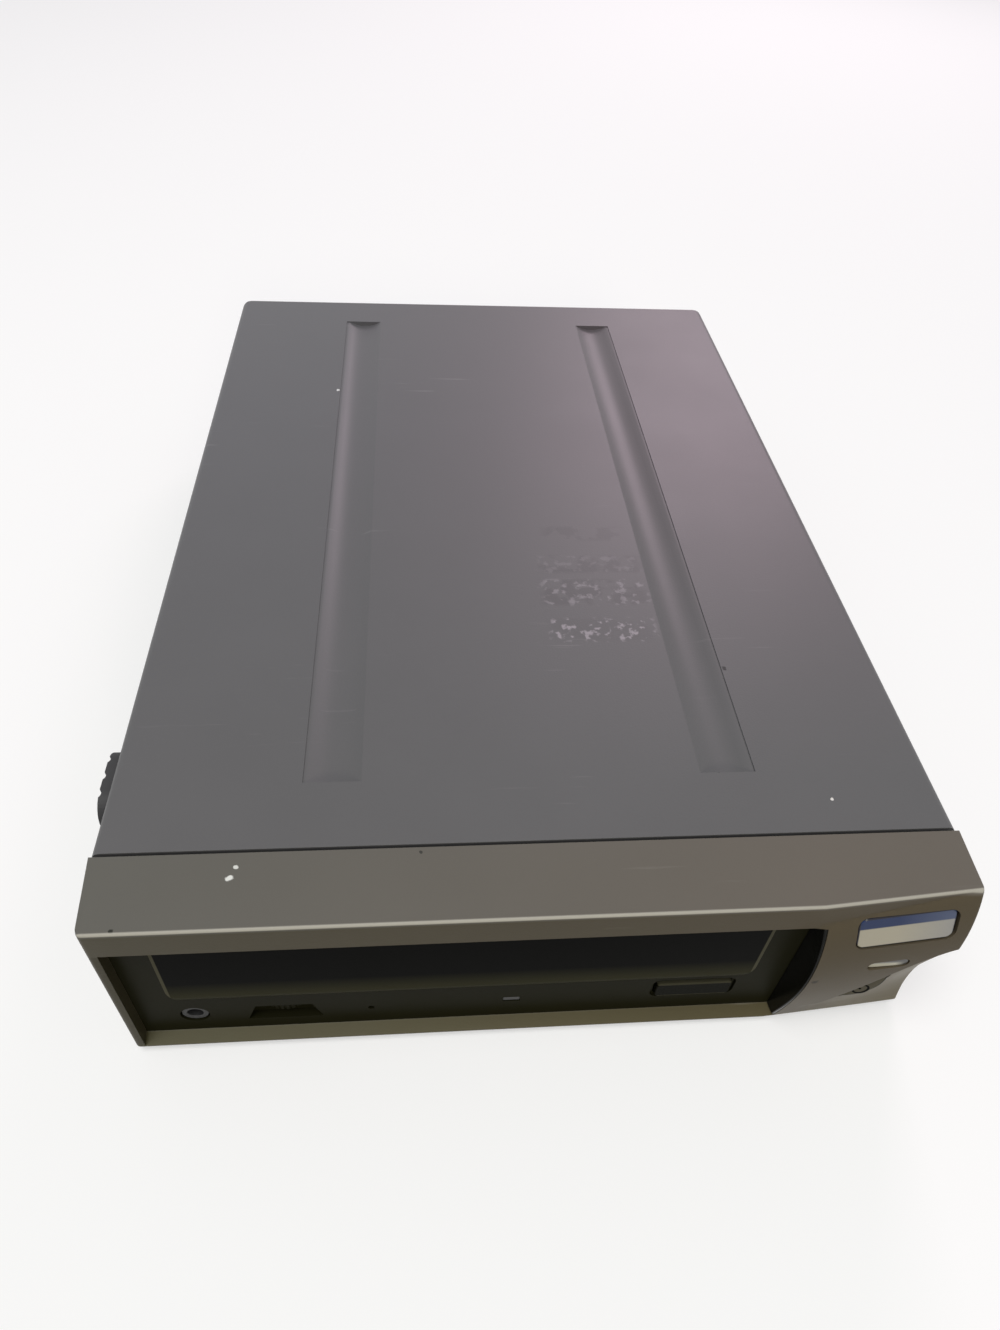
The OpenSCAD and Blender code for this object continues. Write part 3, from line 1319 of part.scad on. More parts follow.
module lift_slider() color([0.88, 0.88, 0.85]) in_drive() difference() {
    turn = atan2(cam_drop, cam_travel);
    union() {
        span([cam_x[0], cam_y, cam_z[0]], [cam_x[1], cam_y + cam_t, cam_z[1]]);
        span([cam_x[0], cam_y - cam_lip_l, deck_top + run_gap],
            [cam_x[1], cam_y + cam_t, deck_top + run_gap + cam_lip_t]);
    }
    for (p = [[cam_pin_x, pivot_z - cam_drop], [cam_pin_x + cam_travel, pivot_z]])
        bar_y(p[0], p[1], cam_slot_r, cam_y - cam_lip_l - cut, cam_y + cam_t + cut);
    translate([cam_pin_x, 0, pivot_z - cam_drop]) rotate([0, -turn, 0])
        span([0, cam_y - cam_lip_l - cut, -cam_slot_r],
            [cam_travel / cos(turn), cam_y + cam_t + cut, cam_slot_r]);
}
module lift_frame() color([0.25, 0.25, 0.26]) in_lift() {
    difference() {
        span([-lift_half, lift_y[0], lift_z], [lift_half, lift_y[1], lift_z + lift_t]);
        span([-lift_half + lift_rim, lift_y[0] + lift_rim, lift_z - cut],
            [lift_half - lift_rim, lift_y[1] - lift_rim, lift_z + lift_t + cut]);
    }
    both_sides() {
        bar_x(pivot_y, pivot_z, pivot_r, lift_half - cut, lift_half + pivot_l);
        for (y = damper_y)
            post(damper_x, y, damper_post_r, lift_z + lift_t / 2, plate_top + damper_h / 2);
    }
    bar_y(cam_pin_x, pivot_z, cam_pin_r, lift_y[0] - cam_pin_l, lift_y[0] + cut);
}
module lift_dampers() color([0.3, 0.3, 0.3]) in_lift()
    both_sides()
        for (y = damper_y)
            difference() {
                post(damper_x, y, damper_r, lift_z + lift_t, lift_z + lift_t + damper_h);
                translate([damper_x, y, plate_z]) linear_extrude(plate_t) difference() {
                    circle(damper_r + cut);
                    circle(damper_neck_r);
                }
                post(damper_x, y, damper_bore_r, lift_z, plate_top + damper_h);
            }
module sled_plate() color([0.72, 0.72, 0.74]) in_lift() difference() {
    union() {
        difference() {
            span([-plate_half, plate_y[0], plate_z], [plate_half, plate_y[1], plate_top]);
            span([-plate_window, plate_window_y[0], plate_z - cut],
                [plate_window, plate_window_y[1], plate_top + cut]);
        }
        both_sides() {
            for (y = damper_y)
                span([plate_half - cut, y - plate_arm, plate_z], [damper_x + plate_arm, y + plate_arm, plate_top]);
            for (y = [rod_y[0], rod_y[1] - holder_t])
                span([rod_x - holder_w / 2, y, plate_z], [rod_x + holder_w / 2, y + holder_t, plate_top + holder_h]);
        }
        for (y = [lead_front_y, lead_bracket_y])
            span([screw_x - lead_bracket_w - holder_t / 2, y, plate_z],
                [screw_x + lead_bracket_w, y + lead_bracket_t, rod_z + lead_bracket_w]);
        span([plate_half - cut, lead_front_y, plate_z],
            [screw_x + lead_bracket_w, lead_bracket_y + lead_bracket_t + step_motor_l, plate_top]);
    }
    both_sides() {
        for (y = damper_y)
            post(damper_x, y, damper_neck_r + pin_gap, plate_z - cut, plate_top + cut);
        bar_y(rod_x, rod_z, rod_r + pin_gap, rod_y[0] - cut, rod_y[1] + cut);
    }
    bar_y(screw_x, rod_z, lead_tip_r + pin_gap, lead_front_y - cut, lead_y0);
    bar_y(screw_x, rod_z, lead_r + lead_gap, lead_bracket_y - cut, lead_bracket_y + lead_bracket_t + cut);
}
module spindle_motor() color([0.7, 0.7, 0.7]) in_lift() {
    post(0, hub_y, spindle_r, plate_top, plate_top + spindle_h);
    post(0, hub_y, spindle_shaft_r, plate_top, spindle_top);
}
module turntable() color([0.2, 0.2, 0.22]) in_lift() difference() {
    union() {
        post(0, hub_y, rotor_r, can_z, table_z - table_t + cut);
        post(0, hub_y, table_r, table_z - table_t, table_z);
        translate([0, hub_y, table_z]) cylinder(r1 = cone_r, r2 = cone_top_r, h = cone_h);
    }
    translate([0, hub_y, table_z - table_pad_dip]) linear_extrude(table_t) difference() {
        circle(table_pad_in + table_pad_w);
        circle(table_pad_in);
    }
    post(0, hub_y, spindle_shaft_r + pin_gap, plate_top, spindle_top + pin_gap);
}
module guide_rods() color([0.85, 0.85, 0.87]) in_lift()
    both_sides() bar_y(rod_x, rod_z, rod_r, rod_y[0], rod_y[1]);
module optical_sled() color([0.3, 0.3, 0.32]) in_lift() difference() {
    union() {
        span([-sled_waist, sled_y, sled_z[0]], [sled_waist, sled_y + sled_l, sled_z[1]]);
        span([-sled_half, sled_y, sled_z[0]], [sled_half, sled_y + sled_l / 2, sled_z[1]]);
        span([rod_x - holder_w / 2, sled_y, sled_z[0]], [sled_half, sled_y + sled_l, sled_z[1]]);
        span([sled_half - cut, sled_y, sled_z[0]], [screw_x + lead_bracket_w, sled_y + nut_t, sled_z[1]]);
        span([-lens_block_w / 2, lens_y - lens_block_l / 2, sled_z[1] - cut],
            [lens_block_w / 2, lens_y + lens_block_l / 2, sled_z[1] + lens_block_h]);
    }
    both_sides() bar_y(rod_x, rod_z, rod_r + pin_gap, sled_y - cut, sled_y + sled_l + cut);
    bar_y(screw_x, rod_z, lead_r + lead_gap, sled_y - cut, sled_y + nut_t + cut);
}
module objective_lens() color([0.5, 0.55, 0.75]) in_lift() {
    z = sled_z[1] + lens_block_h;
    post(0, lens_y, lens_r, z, z + lens_h / 2);
    translate([0, lens_y, z + lens_h / 2]) cylinder(r1 = lens_r, r2 = lens_r / 2, h = lens_h / 2);
}
module lead_screw() color([0.8, 0.8, 0.82]) in_lift() {
    bar_y(screw_x, rod_z, lead_r, lead_y0, lead_bracket_y + lead_bracket_t);
    bar_y(screw_x, rod_z, lead_tip_r, lead_front_y, lead_y0 + cut);
}
module sled_motor() color([0.75, 0.75, 0.77]) in_lift()
    bar_y(screw_x, rod_z, step_motor_r, lead_bracket_y + lead_bracket_t,
        lead_bracket_y + lead_bracket_t + step_motor_l);
module clamp_bridge() color([0.72, 0.72, 0.74]) in_drive() difference() {
    union() {
        span([-side_out, hub_y - clamp_half_l, clamp_z], [side_out, hub_y + clamp_half_l, clamp_z + clamp_t]);
        both_sides()
            span([side_out - clamp_foot, hub_y - clamp_half_l, side_z[1]],
                [side_out, hub_y + clamp_half_l, clamp_z + cut]);
        for (y = [hub_y - clamp_half_l, hub_y + clamp_half_l - clamp_rib_w])
            span([-side_out + clamp_foot, y, clamp_z],
                [side_out - clamp_foot, y + clamp_rib_w, clamp_z + clamp_t + clamp_rib_h]);
    }
    post(0, hub_y, clamp_hole_r, clamp_z - cut, clamp_z + clamp_t + cut);
}
module clamp_puck() color([0.9, 0.9, 0.88]) in_drive() difference() {
    cap_z = clamp_z + clamp_t + puck_gap;
    union() {
        post(0, hub_y, puck_r, puck_z, puck_z + puck_t);
        post(0, hub_y, puck_neck_r, puck_z, cap_z + puck_cap_t);
        post(0, hub_y, puck_cap_r, cap_z, cap_z + puck_cap_t);
    }
    post(0, hub_y, puck_dish_r, puck_z - cut, puck_z + puck_dish_d);
}
module drive_board() color([0.1, 0.35, 0.2]) in_drive() {
    span([-main_half, main_y[0], main_z], [main_half, main_y[1], main_top]);
    for (i = [0 : len(main_chip_w) - 1])
        translate([main_chip_at[i].x - main_chip_w[i] / 2,
            main_y[0] + main_chip_at[i].y - main_chip_w[i] / 2, main_top])
            cube([main_chip_w[i], main_chip_w[i], chip_t]);
}
module drive_sockets() color([0.12, 0.12, 0.12]) in_drive()
    for (i = [0 : len(rear_block_x) - 1]) {
        w = rear_block_w[i] / 2;
        translate([rear_block_x[i], 0, 0]) difference() {
            span([-w, drive_l - rear_block_l, main_top], [w, drive_l, main_top + rear_block_h]);
            span([-w + rear_block_wall, drive_l - rear_block_well, main_top + rear_block_wall],
                [w - rear_block_wall, drive_l + cut, main_top + rear_block_h - rear_block_wall]);
        }
    }
module front_board() color([0.1, 0.35, 0.2]) in_drive() {
    span([-small_board_half, small_board_y[0], small_board_z],
        [small_board_left, small_board_y[1], small_board_top]);
    span([small_board_left - cut, small_board_strip_y[0], small_board_z],
        [small_board_half, small_board_strip_y[1], small_board_top]);
    span([lamp_x - lamp_w / 2, small_board_strip_y[0], small_board_top],
        [lamp_x + lamp_w / 2, small_board_strip_y[1], lamp_z + lamp_window_h / 2]);
    span([lamp_x - lamp_window_w / 2 + fit_gap / 2, fit_gap, lamp_z - lamp_window_h / 2 + fit_gap / 2],
        [lamp_x + lamp_window_w / 2 - fit_gap / 2, small_board_strip_y[0] + cut,
            lamp_z + lamp_window_h / 2 - fit_gap / 2]);
}
eject_back = face_t + run_gap;
module eject_button() color([0.14, 0.14, 0.12]) in_drive() translate([eject_x, 0, eject_z]) {
    along_y(-eject_proud, eject_back + cut)
        round_rect(-eject_w / 2, eject_w / 2, -eject_h / 2, eject_h / 2, eject_corner_r);
    along_y(eject_back, eject_back + eject_flange_t)
        flat_rect(-eject_w / 2 - eject_flange, eject_w / 2 + eject_flange, -eject_h / 2 - eject_flange,
            eject_h / 2 + eject_flange);
    bar_y(0, 0, button_stem_r, eject_back + cut, eject_back + eject_flange_t + eject_stem_l);
}
module eject_switch() color([0.15, 0.15, 0.15]) in_drive() {
    y = eject_back + eject_flange_t + eject_stem_l + eject_travel + nose_gap;
    bar_y(eject_x, eject_z, switch_nose_r, y, y + switch_nose_l + cut);
    span([eject_x - switch_w / 2, y + switch_nose_l, small_board_top],
        [eject_x + switch_w / 2, y + switch_nose_l + switch_t, eject_z + switch_nose_r]);
}
module headphone_jack() color([0.08, 0.08, 0.08]) in_drive() difference() {
    union() {
        span([jack_x - jack_w / 2, face_t + fit_gap, small_board_top],
            [jack_x + jack_w / 2, jack_y1, deck_z - fit_gap]);
        bar_y(jack_x, jack_z, jack_nose_r, jack_set, face_t + fit_gap + cut);
    }
    bar_y(jack_x, jack_z, jack_bore_r, 0, jack_set + jack_bore_l);
}
module volume_wheel() color([0.14, 0.14, 0.12]) in_drive() translate([dial_x, wheel_y, wheel_z])
    linear_extrude(wheel_t) difference() {
        circle(wheel_r);
        circle(pot_shaft_r + pin_gap);
        for (i = [0 : knurl_n - 1])
            rotate(i * 360 / knurl_n) translate([wheel_r, 0]) circle(knurl_r, $fn = 16);
    }
module volume_pot() color([0.2, 0.2, 0.2]) in_drive() {
    post(dial_x, wheel_y, pot_r, small_board_top, wheel_z - wheel_gap);
    post(dial_x, wheel_y, pot_shaft_r, wheel_z - wheel_gap - cut, wheel_z + wheel_t);
}

top_cover();
base_tray();
rear_panel();
front_bezel();
opening_cheek();
label_window();
indicator_lens();
power_button();
control_board();
power_switch();
base_feet();
side_feet();
base_screws();
rear_screws();
fan_frame();
fan_rotor();
fan_screws();
power_inlet();
psu_board();
psu_transformer();
psu_capacitors();
psu_heatsink();
bridge_board();
bridge_chips();
data_sockets();
ribbon_cable();
power_lead();
control_lead();
drive_case();
drive_pan();
drive_bezel();
tray_door();
disc_tray();
loading_frame();
loading_gear();
pulley_gear();
motor_pulley();
loading_belt();
loading_motor();
lift_slider();
lift_frame();
lift_dampers();
sled_plate();
spindle_motor();
turntable();
guide_rods();
optical_sled();
objective_lens();
lead_screw();
sled_motor();
clamp_bridge();
clamp_puck();
drive_board();
drive_sockets();
front_board();
eject_button();
eject_switch();
headphone_jack();
volume_wheel();
volume_pot();
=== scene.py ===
# An external optical disc drive: a low grey desktop case with a black tray drive in its front.
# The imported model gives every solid; the sections below follow the object as it is put together.
import json
import math

import bmesh
import bpy
import numpy as np
from mathutils import Euler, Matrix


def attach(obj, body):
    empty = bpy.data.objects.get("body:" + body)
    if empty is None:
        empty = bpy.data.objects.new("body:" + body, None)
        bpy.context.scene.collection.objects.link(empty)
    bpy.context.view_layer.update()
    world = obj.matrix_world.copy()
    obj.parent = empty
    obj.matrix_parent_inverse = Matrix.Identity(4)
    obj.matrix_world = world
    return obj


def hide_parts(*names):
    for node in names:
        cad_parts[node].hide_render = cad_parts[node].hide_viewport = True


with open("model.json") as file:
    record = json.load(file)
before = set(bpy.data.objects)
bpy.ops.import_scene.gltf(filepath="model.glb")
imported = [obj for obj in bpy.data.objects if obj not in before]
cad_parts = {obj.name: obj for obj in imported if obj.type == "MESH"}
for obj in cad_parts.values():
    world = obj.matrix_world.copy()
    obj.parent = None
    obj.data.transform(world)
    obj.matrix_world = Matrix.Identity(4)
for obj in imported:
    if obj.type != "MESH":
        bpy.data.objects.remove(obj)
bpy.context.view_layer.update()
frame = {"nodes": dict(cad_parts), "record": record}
nodes = frame["nodes"]

# Camera and studio. A wide lens close over the front, a pale floor, a large soft lamp overhead and
# behind, and a plain bright room round the object.
camera = bpy.data.objects.new("photo_camera", bpy.data.cameras.new("photo_camera"))
bpy.context.scene.collection.objects.link(camera)
camera.location = (-0.0238, -0.2255545, 0.2195)
camera.rotation_euler = Euler([math.radians(a) for a in (44.42, -3.05, -4.09)])
camera.data.lens = 24.913
camera.data.sensor_width = 36
camera.data.clip_start = 0.01
bpy.context.scene.camera = camera
bpy.context.scene.view_settings.view_transform = "Standard"


def white_for_camera(tree, shader, lit_colour, seen_colour):
    """A surface or world that lights the object with one colour, and shows another to the camera and
    to glossy and clear surfaces. Gives the mix, the lighting shader and the seen one."""
    path = tree.nodes.new("ShaderNodeLightPath")
    seen_by = path.outputs["Is Camera Ray"]
    for ray in ("Is Glossy Ray", "Is Transmission Ray"):
        either = tree.nodes.new("ShaderNodeMath")
        either.operation = "MAXIMUM"
        tree.links.new(seen_by, either.inputs[0])
        tree.links.new(path.outputs[ray], either.inputs[1])
        seen_by = either.outputs[0]
    mix = tree.nodes.new("ShaderNodeMixShader")
    tree.links.new(seen_by, mix.inputs[0])
    lit = tree.nodes.new(shader)
    lit.inputs["Color"].default_value = lit_colour
    seen = tree.nodes.new(shader)
    seen.inputs["Color"].default_value = seen_colour
    tree.links.new(lit.outputs[0], mix.inputs[1])
    tree.links.new(seen.outputs[0], mix.inputs[2])
    return mix, lit, seen


world = bpy.data.worlds.new("studio")
world.use_nodes = True
bpy.context.scene.world = world
world.node_tree.nodes.clear()
room, room_light, _ = white_for_camera(
    world.node_tree, "ShaderNodeBackground", (0.92, 0.95, 1, 1), (1, 1, 1, 1))
room_strength = 0.3
room_light.inputs["Strength"].default_value = room_strength
world_out = world.node_tree.nodes.new("ShaderNodeOutputWorld")
world.node_tree.links.new(room.outputs[0], world_out.inputs[0])

floor_mesh = bpy.data.meshes.new("studio_floor")
far = 8
floor_corners = [(-far, -far, 0), (far, -far, 0), (far, far, 0), (-far, far, 0)]
floor_mesh.from_pydata(floor_corners, [], [(0, 1, 2, 3)])
floor = bpy.data.objects.new("studio_floor", floor_mesh)
bpy.context.scene.collection.objects.link(floor)
floor_paint = bpy.data.materials.new("studio_floor")
floor_paint.use_nodes = True
floor_paint.node_tree.nodes.clear()
floor_mix, _, floor_seen = white_for_camera(
    floor_paint.node_tree, "ShaderNodeBsdfDiffuse", (0.17, 0.155, 0.105, 1), (0.5, 0.5, 0.5, 1))
glow = floor_paint.node_tree.nodes.new("ShaderNodeEmission")
glow.inputs["Color"].default_value = (0.5, 0.5, 0.5, 1)
lit_glow = floor_paint.node_tree.nodes.new("ShaderNodeAddShader")
floor_paint.node_tree.links.new(floor_seen.outputs[0], lit_glow.inputs[0])
floor_paint.node_tree.links.new(glow.outputs[0], lit_glow.inputs[1])
floor_paint.node_tree.links.new(lit_glow.outputs[0], floor_mix.inputs[2])
floor_out = floor_paint.node_tree.nodes.new("ShaderNodeOutputMaterial")
floor_paint.node_tree.links.new(floor_mix.outputs[0], floor_out.inputs[0])
floor_mesh.materials.append(floor_paint)

# Each lamp: name, place, aim, size, watts, colour
lamps = [
    ("overhead_softbox", (-0.35, -0.5, 1.9), (0, 0, 0), 0.9, 21, (1, 0.99, 0.96)),
    ("window_back_right", (0.5, 1.25, 0.85), (0.03, 0, 0.05), 0.5, 5.5, (1, 0.8, 0.91)),
    ("front_fill", (0.2, -1.6, 0.7), (0, -0.1, 0.03), 0.35, 6, (1, 0.93, 0.75)),
]
for lamp_name, place, aim, size, watts, tone in lamps:
    light = bpy.data.lights.new(lamp_name, "AREA")
    light.size = size
    light.energy = watts
    light.color = tone
    lamp = bpy.data.objects.new(lamp_name, light)
    bpy.context.scene.collection.objects.link(lamp)
    lamp.location = place
    away = np.array(place) - np.array(aim)
    lamp.rotation_euler = Euler((math.acos(away[2] / np.linalg.norm(away)), 0,
                                 math.atan2(away[1], away[0]) + math.pi / 2))

# Top cover: one moulding of satin grey plastic with two long troughs, screwed to the base from below.
# Its grey carries a painted reflection, blue on the left and mauve on the right, with fine moulded grain and
# small knocks.
body_of = {n: b for b, names in frame["record"]["behaviour"]["bodies"].items() for n in names}
CASE = np.array([1.6, -135.3545, 2.5])


def softened(node, width, angle=20, bevel_angle=32, segments=2):
    """A copy of a CAD node with its doubles merged and its flat areas rejoined, so that round walls
    shade smoothly and every edge sharper than the angle gets a small rounding of the given width."""
    mesh = nodes[node].data.copy()
    mesh.name = node + "_finished"
    piece = bpy.data.objects.new(node + "_finished", mesh)
    bpy.context.scene.collection.objects.link(piece)
    shape = bmesh.new()
    shape.from_mesh(mesh)
    bmesh.ops.remove_doubles(shape, verts=shape.verts, dist=2e-6)
    bmesh.ops.dissolve_limit(shape, angle_limit=math.radians(0.6), verts=shape.verts, edges=shape.edges)
    for face in shape.faces:
        face.smooth = True
    shape.to_mesh(mesh)
    shape.free()
    mesh.set_sharp_from_angle(angle=math.radians(angle))
    if width > 0:
        round_edges = piece.modifiers.new("rounded_edges", "BEVEL")
        round_edges.width = width
        round_edges.segments = segments
        round_edges.limit_method = "ANGLE"
        round_edges.angle_limit = math.radians(bevel_angle)
        even = piece.modifiers.new("even_shading", "WEIGHTED_NORMAL")
        even.keep_sharp = True
        even.weight = 100
    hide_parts(node)
    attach(piece, body_of[node])
    return piece


def group_with(name, inputs, outputs):
    """An empty shader group with the named inputs (name, socket type, value) and outputs."""
    group = bpy.data.node_groups.new(name, "ShaderNodeTree")
    for socket, kind, value in inputs:
        item = group.interface.new_socket(name=socket, in_out="INPUT", socket_type=kind)
        item.default_value = value
    for socket, kind in outputs:
        group.interface.new_socket(name=socket, in_out="OUTPUT", socket_type=kind)
    return group, group.nodes.new("NodeGroupInput"), group.nodes.new("NodeGroupOutput")


def wire(tree, *pairs):
    """Joins outputs to inputs, two by two."""
    for a, b in pairs:
        tree.links.new(a, b)


def math_node(tree, kind, a, b=None, clamp=False):
    """A Math node whose inputs are sockets or numbers."""
    node = tree.nodes.new("ShaderNodeMath")
    node.operation = kind
    node.use_clamp = clamp
    for i, v in enumerate((a, b)):
        if v is None:
            continue
        if isinstance(v, (int, float)):
            node.inputs[i].default_value = v
        else:
            tree.links.new(v, node.inputs[i])
    return node.outputs[0]


def times(tree, a, b, clamp=False):
    """The product of two sockets or numbers."""
    return math_node(tree, "MULTIPLY", a, b, clamp)


def plus(tree, a, b):
    """The sum of two sockets or numbers."""
    return math_node(tree, "ADD", a, b)


def less(tree, a, b):
    """The first less the second."""
    return math_node(tree, "SUBTRACT", a, b)


def mix_colours(tree, share, a, b, kind="MIX"):
    """A colour mix of two sockets or colours, by a share."""
    node = tree.nodes.new("ShaderNodeMix")
    node.data_type = "RGBA"
    node.blend_type = kind
    for i, v in ((0, share), (6, a), (7, b)):
        if isinstance(v, (int, float, tuple)):
            node.inputs[i].default_value = v
        else:
            tree.links.new(v, node.inputs[i])
    return node.outputs[2]


def dyed(tree, tone, colour, share=1.0):
    """A tone multiplied by a colour, by a share."""
    return mix_colours(tree, share, tone, colour, "MULTIPLY")


grain, grain_in, grain_out = group_with("moulded_grain", [
    ("Colour", "NodeSocketColor", (0.5, 0.5, 0.5, 1)), ("Roughness", "NodeSocketFloat", 0.5),
    ("Grain scale", "NodeSocketFloat", 2500), ("Mottle scale", "NodeSocketFloat", 30),
    ("Mottle", "NodeSocketFloat", 0.1), ("Roughness spread", "NodeSocketFloat", 0.1)],
    [("Colour", "NodeSocketColor"), ("Roughness", "NodeSocketFloat"), ("Height", "NodeSocketFloat")])
coords = grain.nodes.new("ShaderNodeTexCoord")
fine = grain.nodes.new("ShaderNodeTexNoise")
fine.inputs["Detail"].default_value = 2
cloud = grain.nodes.new("ShaderNodeTexNoise")
cloud.inputs["Detail"].default_value = 4
cloud.inputs["Roughness"].default_value = 0.6
wire(grain, (coords.outputs["Object"], fine.inputs["Vector"]),
     (grain_in.outputs["Grain scale"], fine.inputs["Scale"]),
     (coords.outputs["Object"], cloud.inputs["Vector"]),
     (grain_in.outputs["Mottle scale"], cloud.inputs["Scale"]))
swing = less(grain, cloud.outputs["Fac"], 0.5)
lift = plus(grain, times(grain, swing, grain_in.outputs["Mottle"]), 1.0)
scaled = grain.nodes.new("ShaderNodeVectorMath")
scaled.operation = "SCALE"
wire(grain, (grain_in.outputs["Colour"], scaled.inputs[0]), (lift, scaled.inputs["Scale"]),
     (scaled.outputs[0], grain_out.inputs["Colour"]), (fine.outputs["Fac"], grain_out.inputs["Height"]))
wire(grain, (plus(grain, grain_in.outputs["Roughness"],
                       times(grain, swing, grain_in.outputs["Roughness spread"])),
             grain_out.inputs["Roughness"]))

wear, wear_in, wear_out = group_with("knocks_and_scratches", [
    ("Colour", "NodeSocketColor", (0.5, 0.5, 0.5, 1)), ("Bare colour", "NodeSocketColor", (0.7, 0.7, 0.7, 1)),
    ("Amount", "NodeSocketFloat", 0.5)], [("Colour", "NodeSocketColor"), ("Mask", "NodeSocketFloat")])
wear_at = wear.nodes.new("ShaderNodeTexCoord")
stretch = wear.nodes.new("ShaderNodeMapping")
stretch.inputs["Rotation"].default_value = (0.2, 0.1, 0.9)
stretch.inputs["Scale"].default_value = (9, 160, 60)
lines = wear.nodes.new("ShaderNodeTexNoise")
lines.inputs["Scale"].default_value = 4
lines.inputs["Detail"].default_value = 6
where = wear.nodes.new("ShaderNodeTexNoise")
where.inputs["Scale"].default_value = 22
wire(wear, (wear_at.outputs["Object"], stretch.inputs["Vector"]),
     (stretch.outputs[0], lines.inputs["Vector"]),
     (wear_at.outputs["Object"], where.inputs["Vector"]))
thin = times(wear, less(wear, lines.outputs["Fac"], 0.66), 14, clamp=True)
spots = times(wear, less(wear, where.outputs["Fac"], 0.5), 6, clamp=True)
mask = times(wear, times(wear, thin, spots), wear_in.outputs["Amount"])
wire(wear, (mix_colours(wear, mask, wear_in.outputs["Colour"], wear_in.outputs["Bare colour"]),
            wear_out.inputs["Colour"]), (mask, wear_out.inputs["Mask"]))


def finish_of(name, colour, rough, grain_scale=2500, bump=0.00002, mottle=0.12, spread=0.1, metal=0.0,
              scratches=0.0, bare=(0.6, 0.6, 0.6), coat=0.0, tint=None, specular=0.5):
    """A moulded, painted or rolled surface: grain as a fine bump, a cloudy tone, and scratches that show
    a bare colour. tint, where given, takes the tree and the toned colour and returns another."""
    material = bpy.data.materials.new(name)
    material.use_nodes = True
    tree = material.node_tree
    shader = tree.nodes["Principled BSDF"]
    skin = tree.nodes.new("ShaderNodeGroup")
    skin.node_tree = grain
    for socket, value in (("Colour", (*colour, 1)), ("Roughness", rough), ("Grain scale", grain_scale),
                          ("Mottle", mottle), ("Roughness spread", spread)):
        skin.inputs[socket].default_value = value
    tone = skin.outputs["Colour"]
    if tint:
        tone = tint(tree, tone)
    if scratches > 0:
        knocks = tree.nodes.new("ShaderNodeGroup")
        knocks.node_tree = wear
        knocks.inputs["Bare colour"].default_value = (*bare, 1)
        knocks.inputs["Amount"].default_value = scratches
        tree.links.new(tone, knocks.inputs["Colour"])
        tone = knocks.outputs["Colour"]
    relief = tree.nodes.new("ShaderNodeBump")
    relief.inputs["Distance"].default_value = bump
    relief.inputs["Strength"].default_value = 1
    shader.inputs["Metallic"].default_value = metal
    shader.inputs["Specular IOR Level"].default_value = specular
    if coat:
        shader.inputs["Coat Weight"].default_value = coat
        shader.inputs["Coat Roughness"].default_value = 0.08
    wire(tree, (tone, shader.inputs["Base Color"]), (skin.outputs["Roughness"], shader.inputs["Roughness"]),
         (skin.outputs["Height"], relief.inputs["Height"]), (relief.outputs[0], shader.inputs["Normal"]))
    return material


def painted(piece, material):
    """Gives the whole piece one finish."""
    piece.data.materials.clear()
    piece.data.materials.append(material)
    return piece


def ramp(tree, socket, low, high):
    """A share that goes from 0 to 1 between two values."""
    node = tree.nodes.new("ShaderNodeMapRange")
    node.inputs["From Min"].default_value = low
    node.inputs["From Max"].default_value = high
    tree.links.new(socket, node.inputs["Value"])
    return node.outputs["Result"]


def axes_of(tree):
    """The Object coordinates' three axes."""
    at = tree.nodes.new("ShaderNodeTexCoord")
    parts = tree.nodes.new("ShaderNodeSeparateXYZ")
    tree.links.new(at.outputs["Object"], parts.inputs[0])
    return parts.outputs, at.outputs["Object"]


def blot(tree, place, centre, radius, edge=0.3):
    """A share that is 1 inside a ragged round mark at a place, in metres, and 0 outside it."""
    noise = tree.nodes.new("ShaderNodeTexNoise")
    noise.inputs["Scale"].default_value = 900
    tree.links.new(place, noise.inputs["Vector"])
    gap = tree.nodes.new("ShaderNodeVectorMath")
    gap.operation = "DISTANCE"
    tree.links.new(place, gap.inputs[0])
    gap.inputs[1].default_value = tuple(centre)
    far = plus(tree, gap.outputs["Value"],
                    times(tree, less(tree, noise.outputs["Fac"], 0.5), radius * 1.6))
    node = tree.nodes.new("ShaderNodeMapRange")
    node.inputs["From Min"].default_value = radius
    node.inputs["From Max"].default_value = radius * (1 - edge)
    tree.links.new(far, node.inputs["Value"])
    return node.outputs["Result"]


def near_to(tree, socket, middle, half, soft):
    """A share that is 1 within half a width of a value, and falls to 0 over a soft edge."""
    far = math_node(tree, "ABSOLUTE", less(tree, socket, float(middle)))
    return ramp(tree, far, half + soft, half)


def top_place(x, y, z=52.2):
    """A point of the case, in metres."""
    return (np.array([x, y, z]) + CASE) / 1000


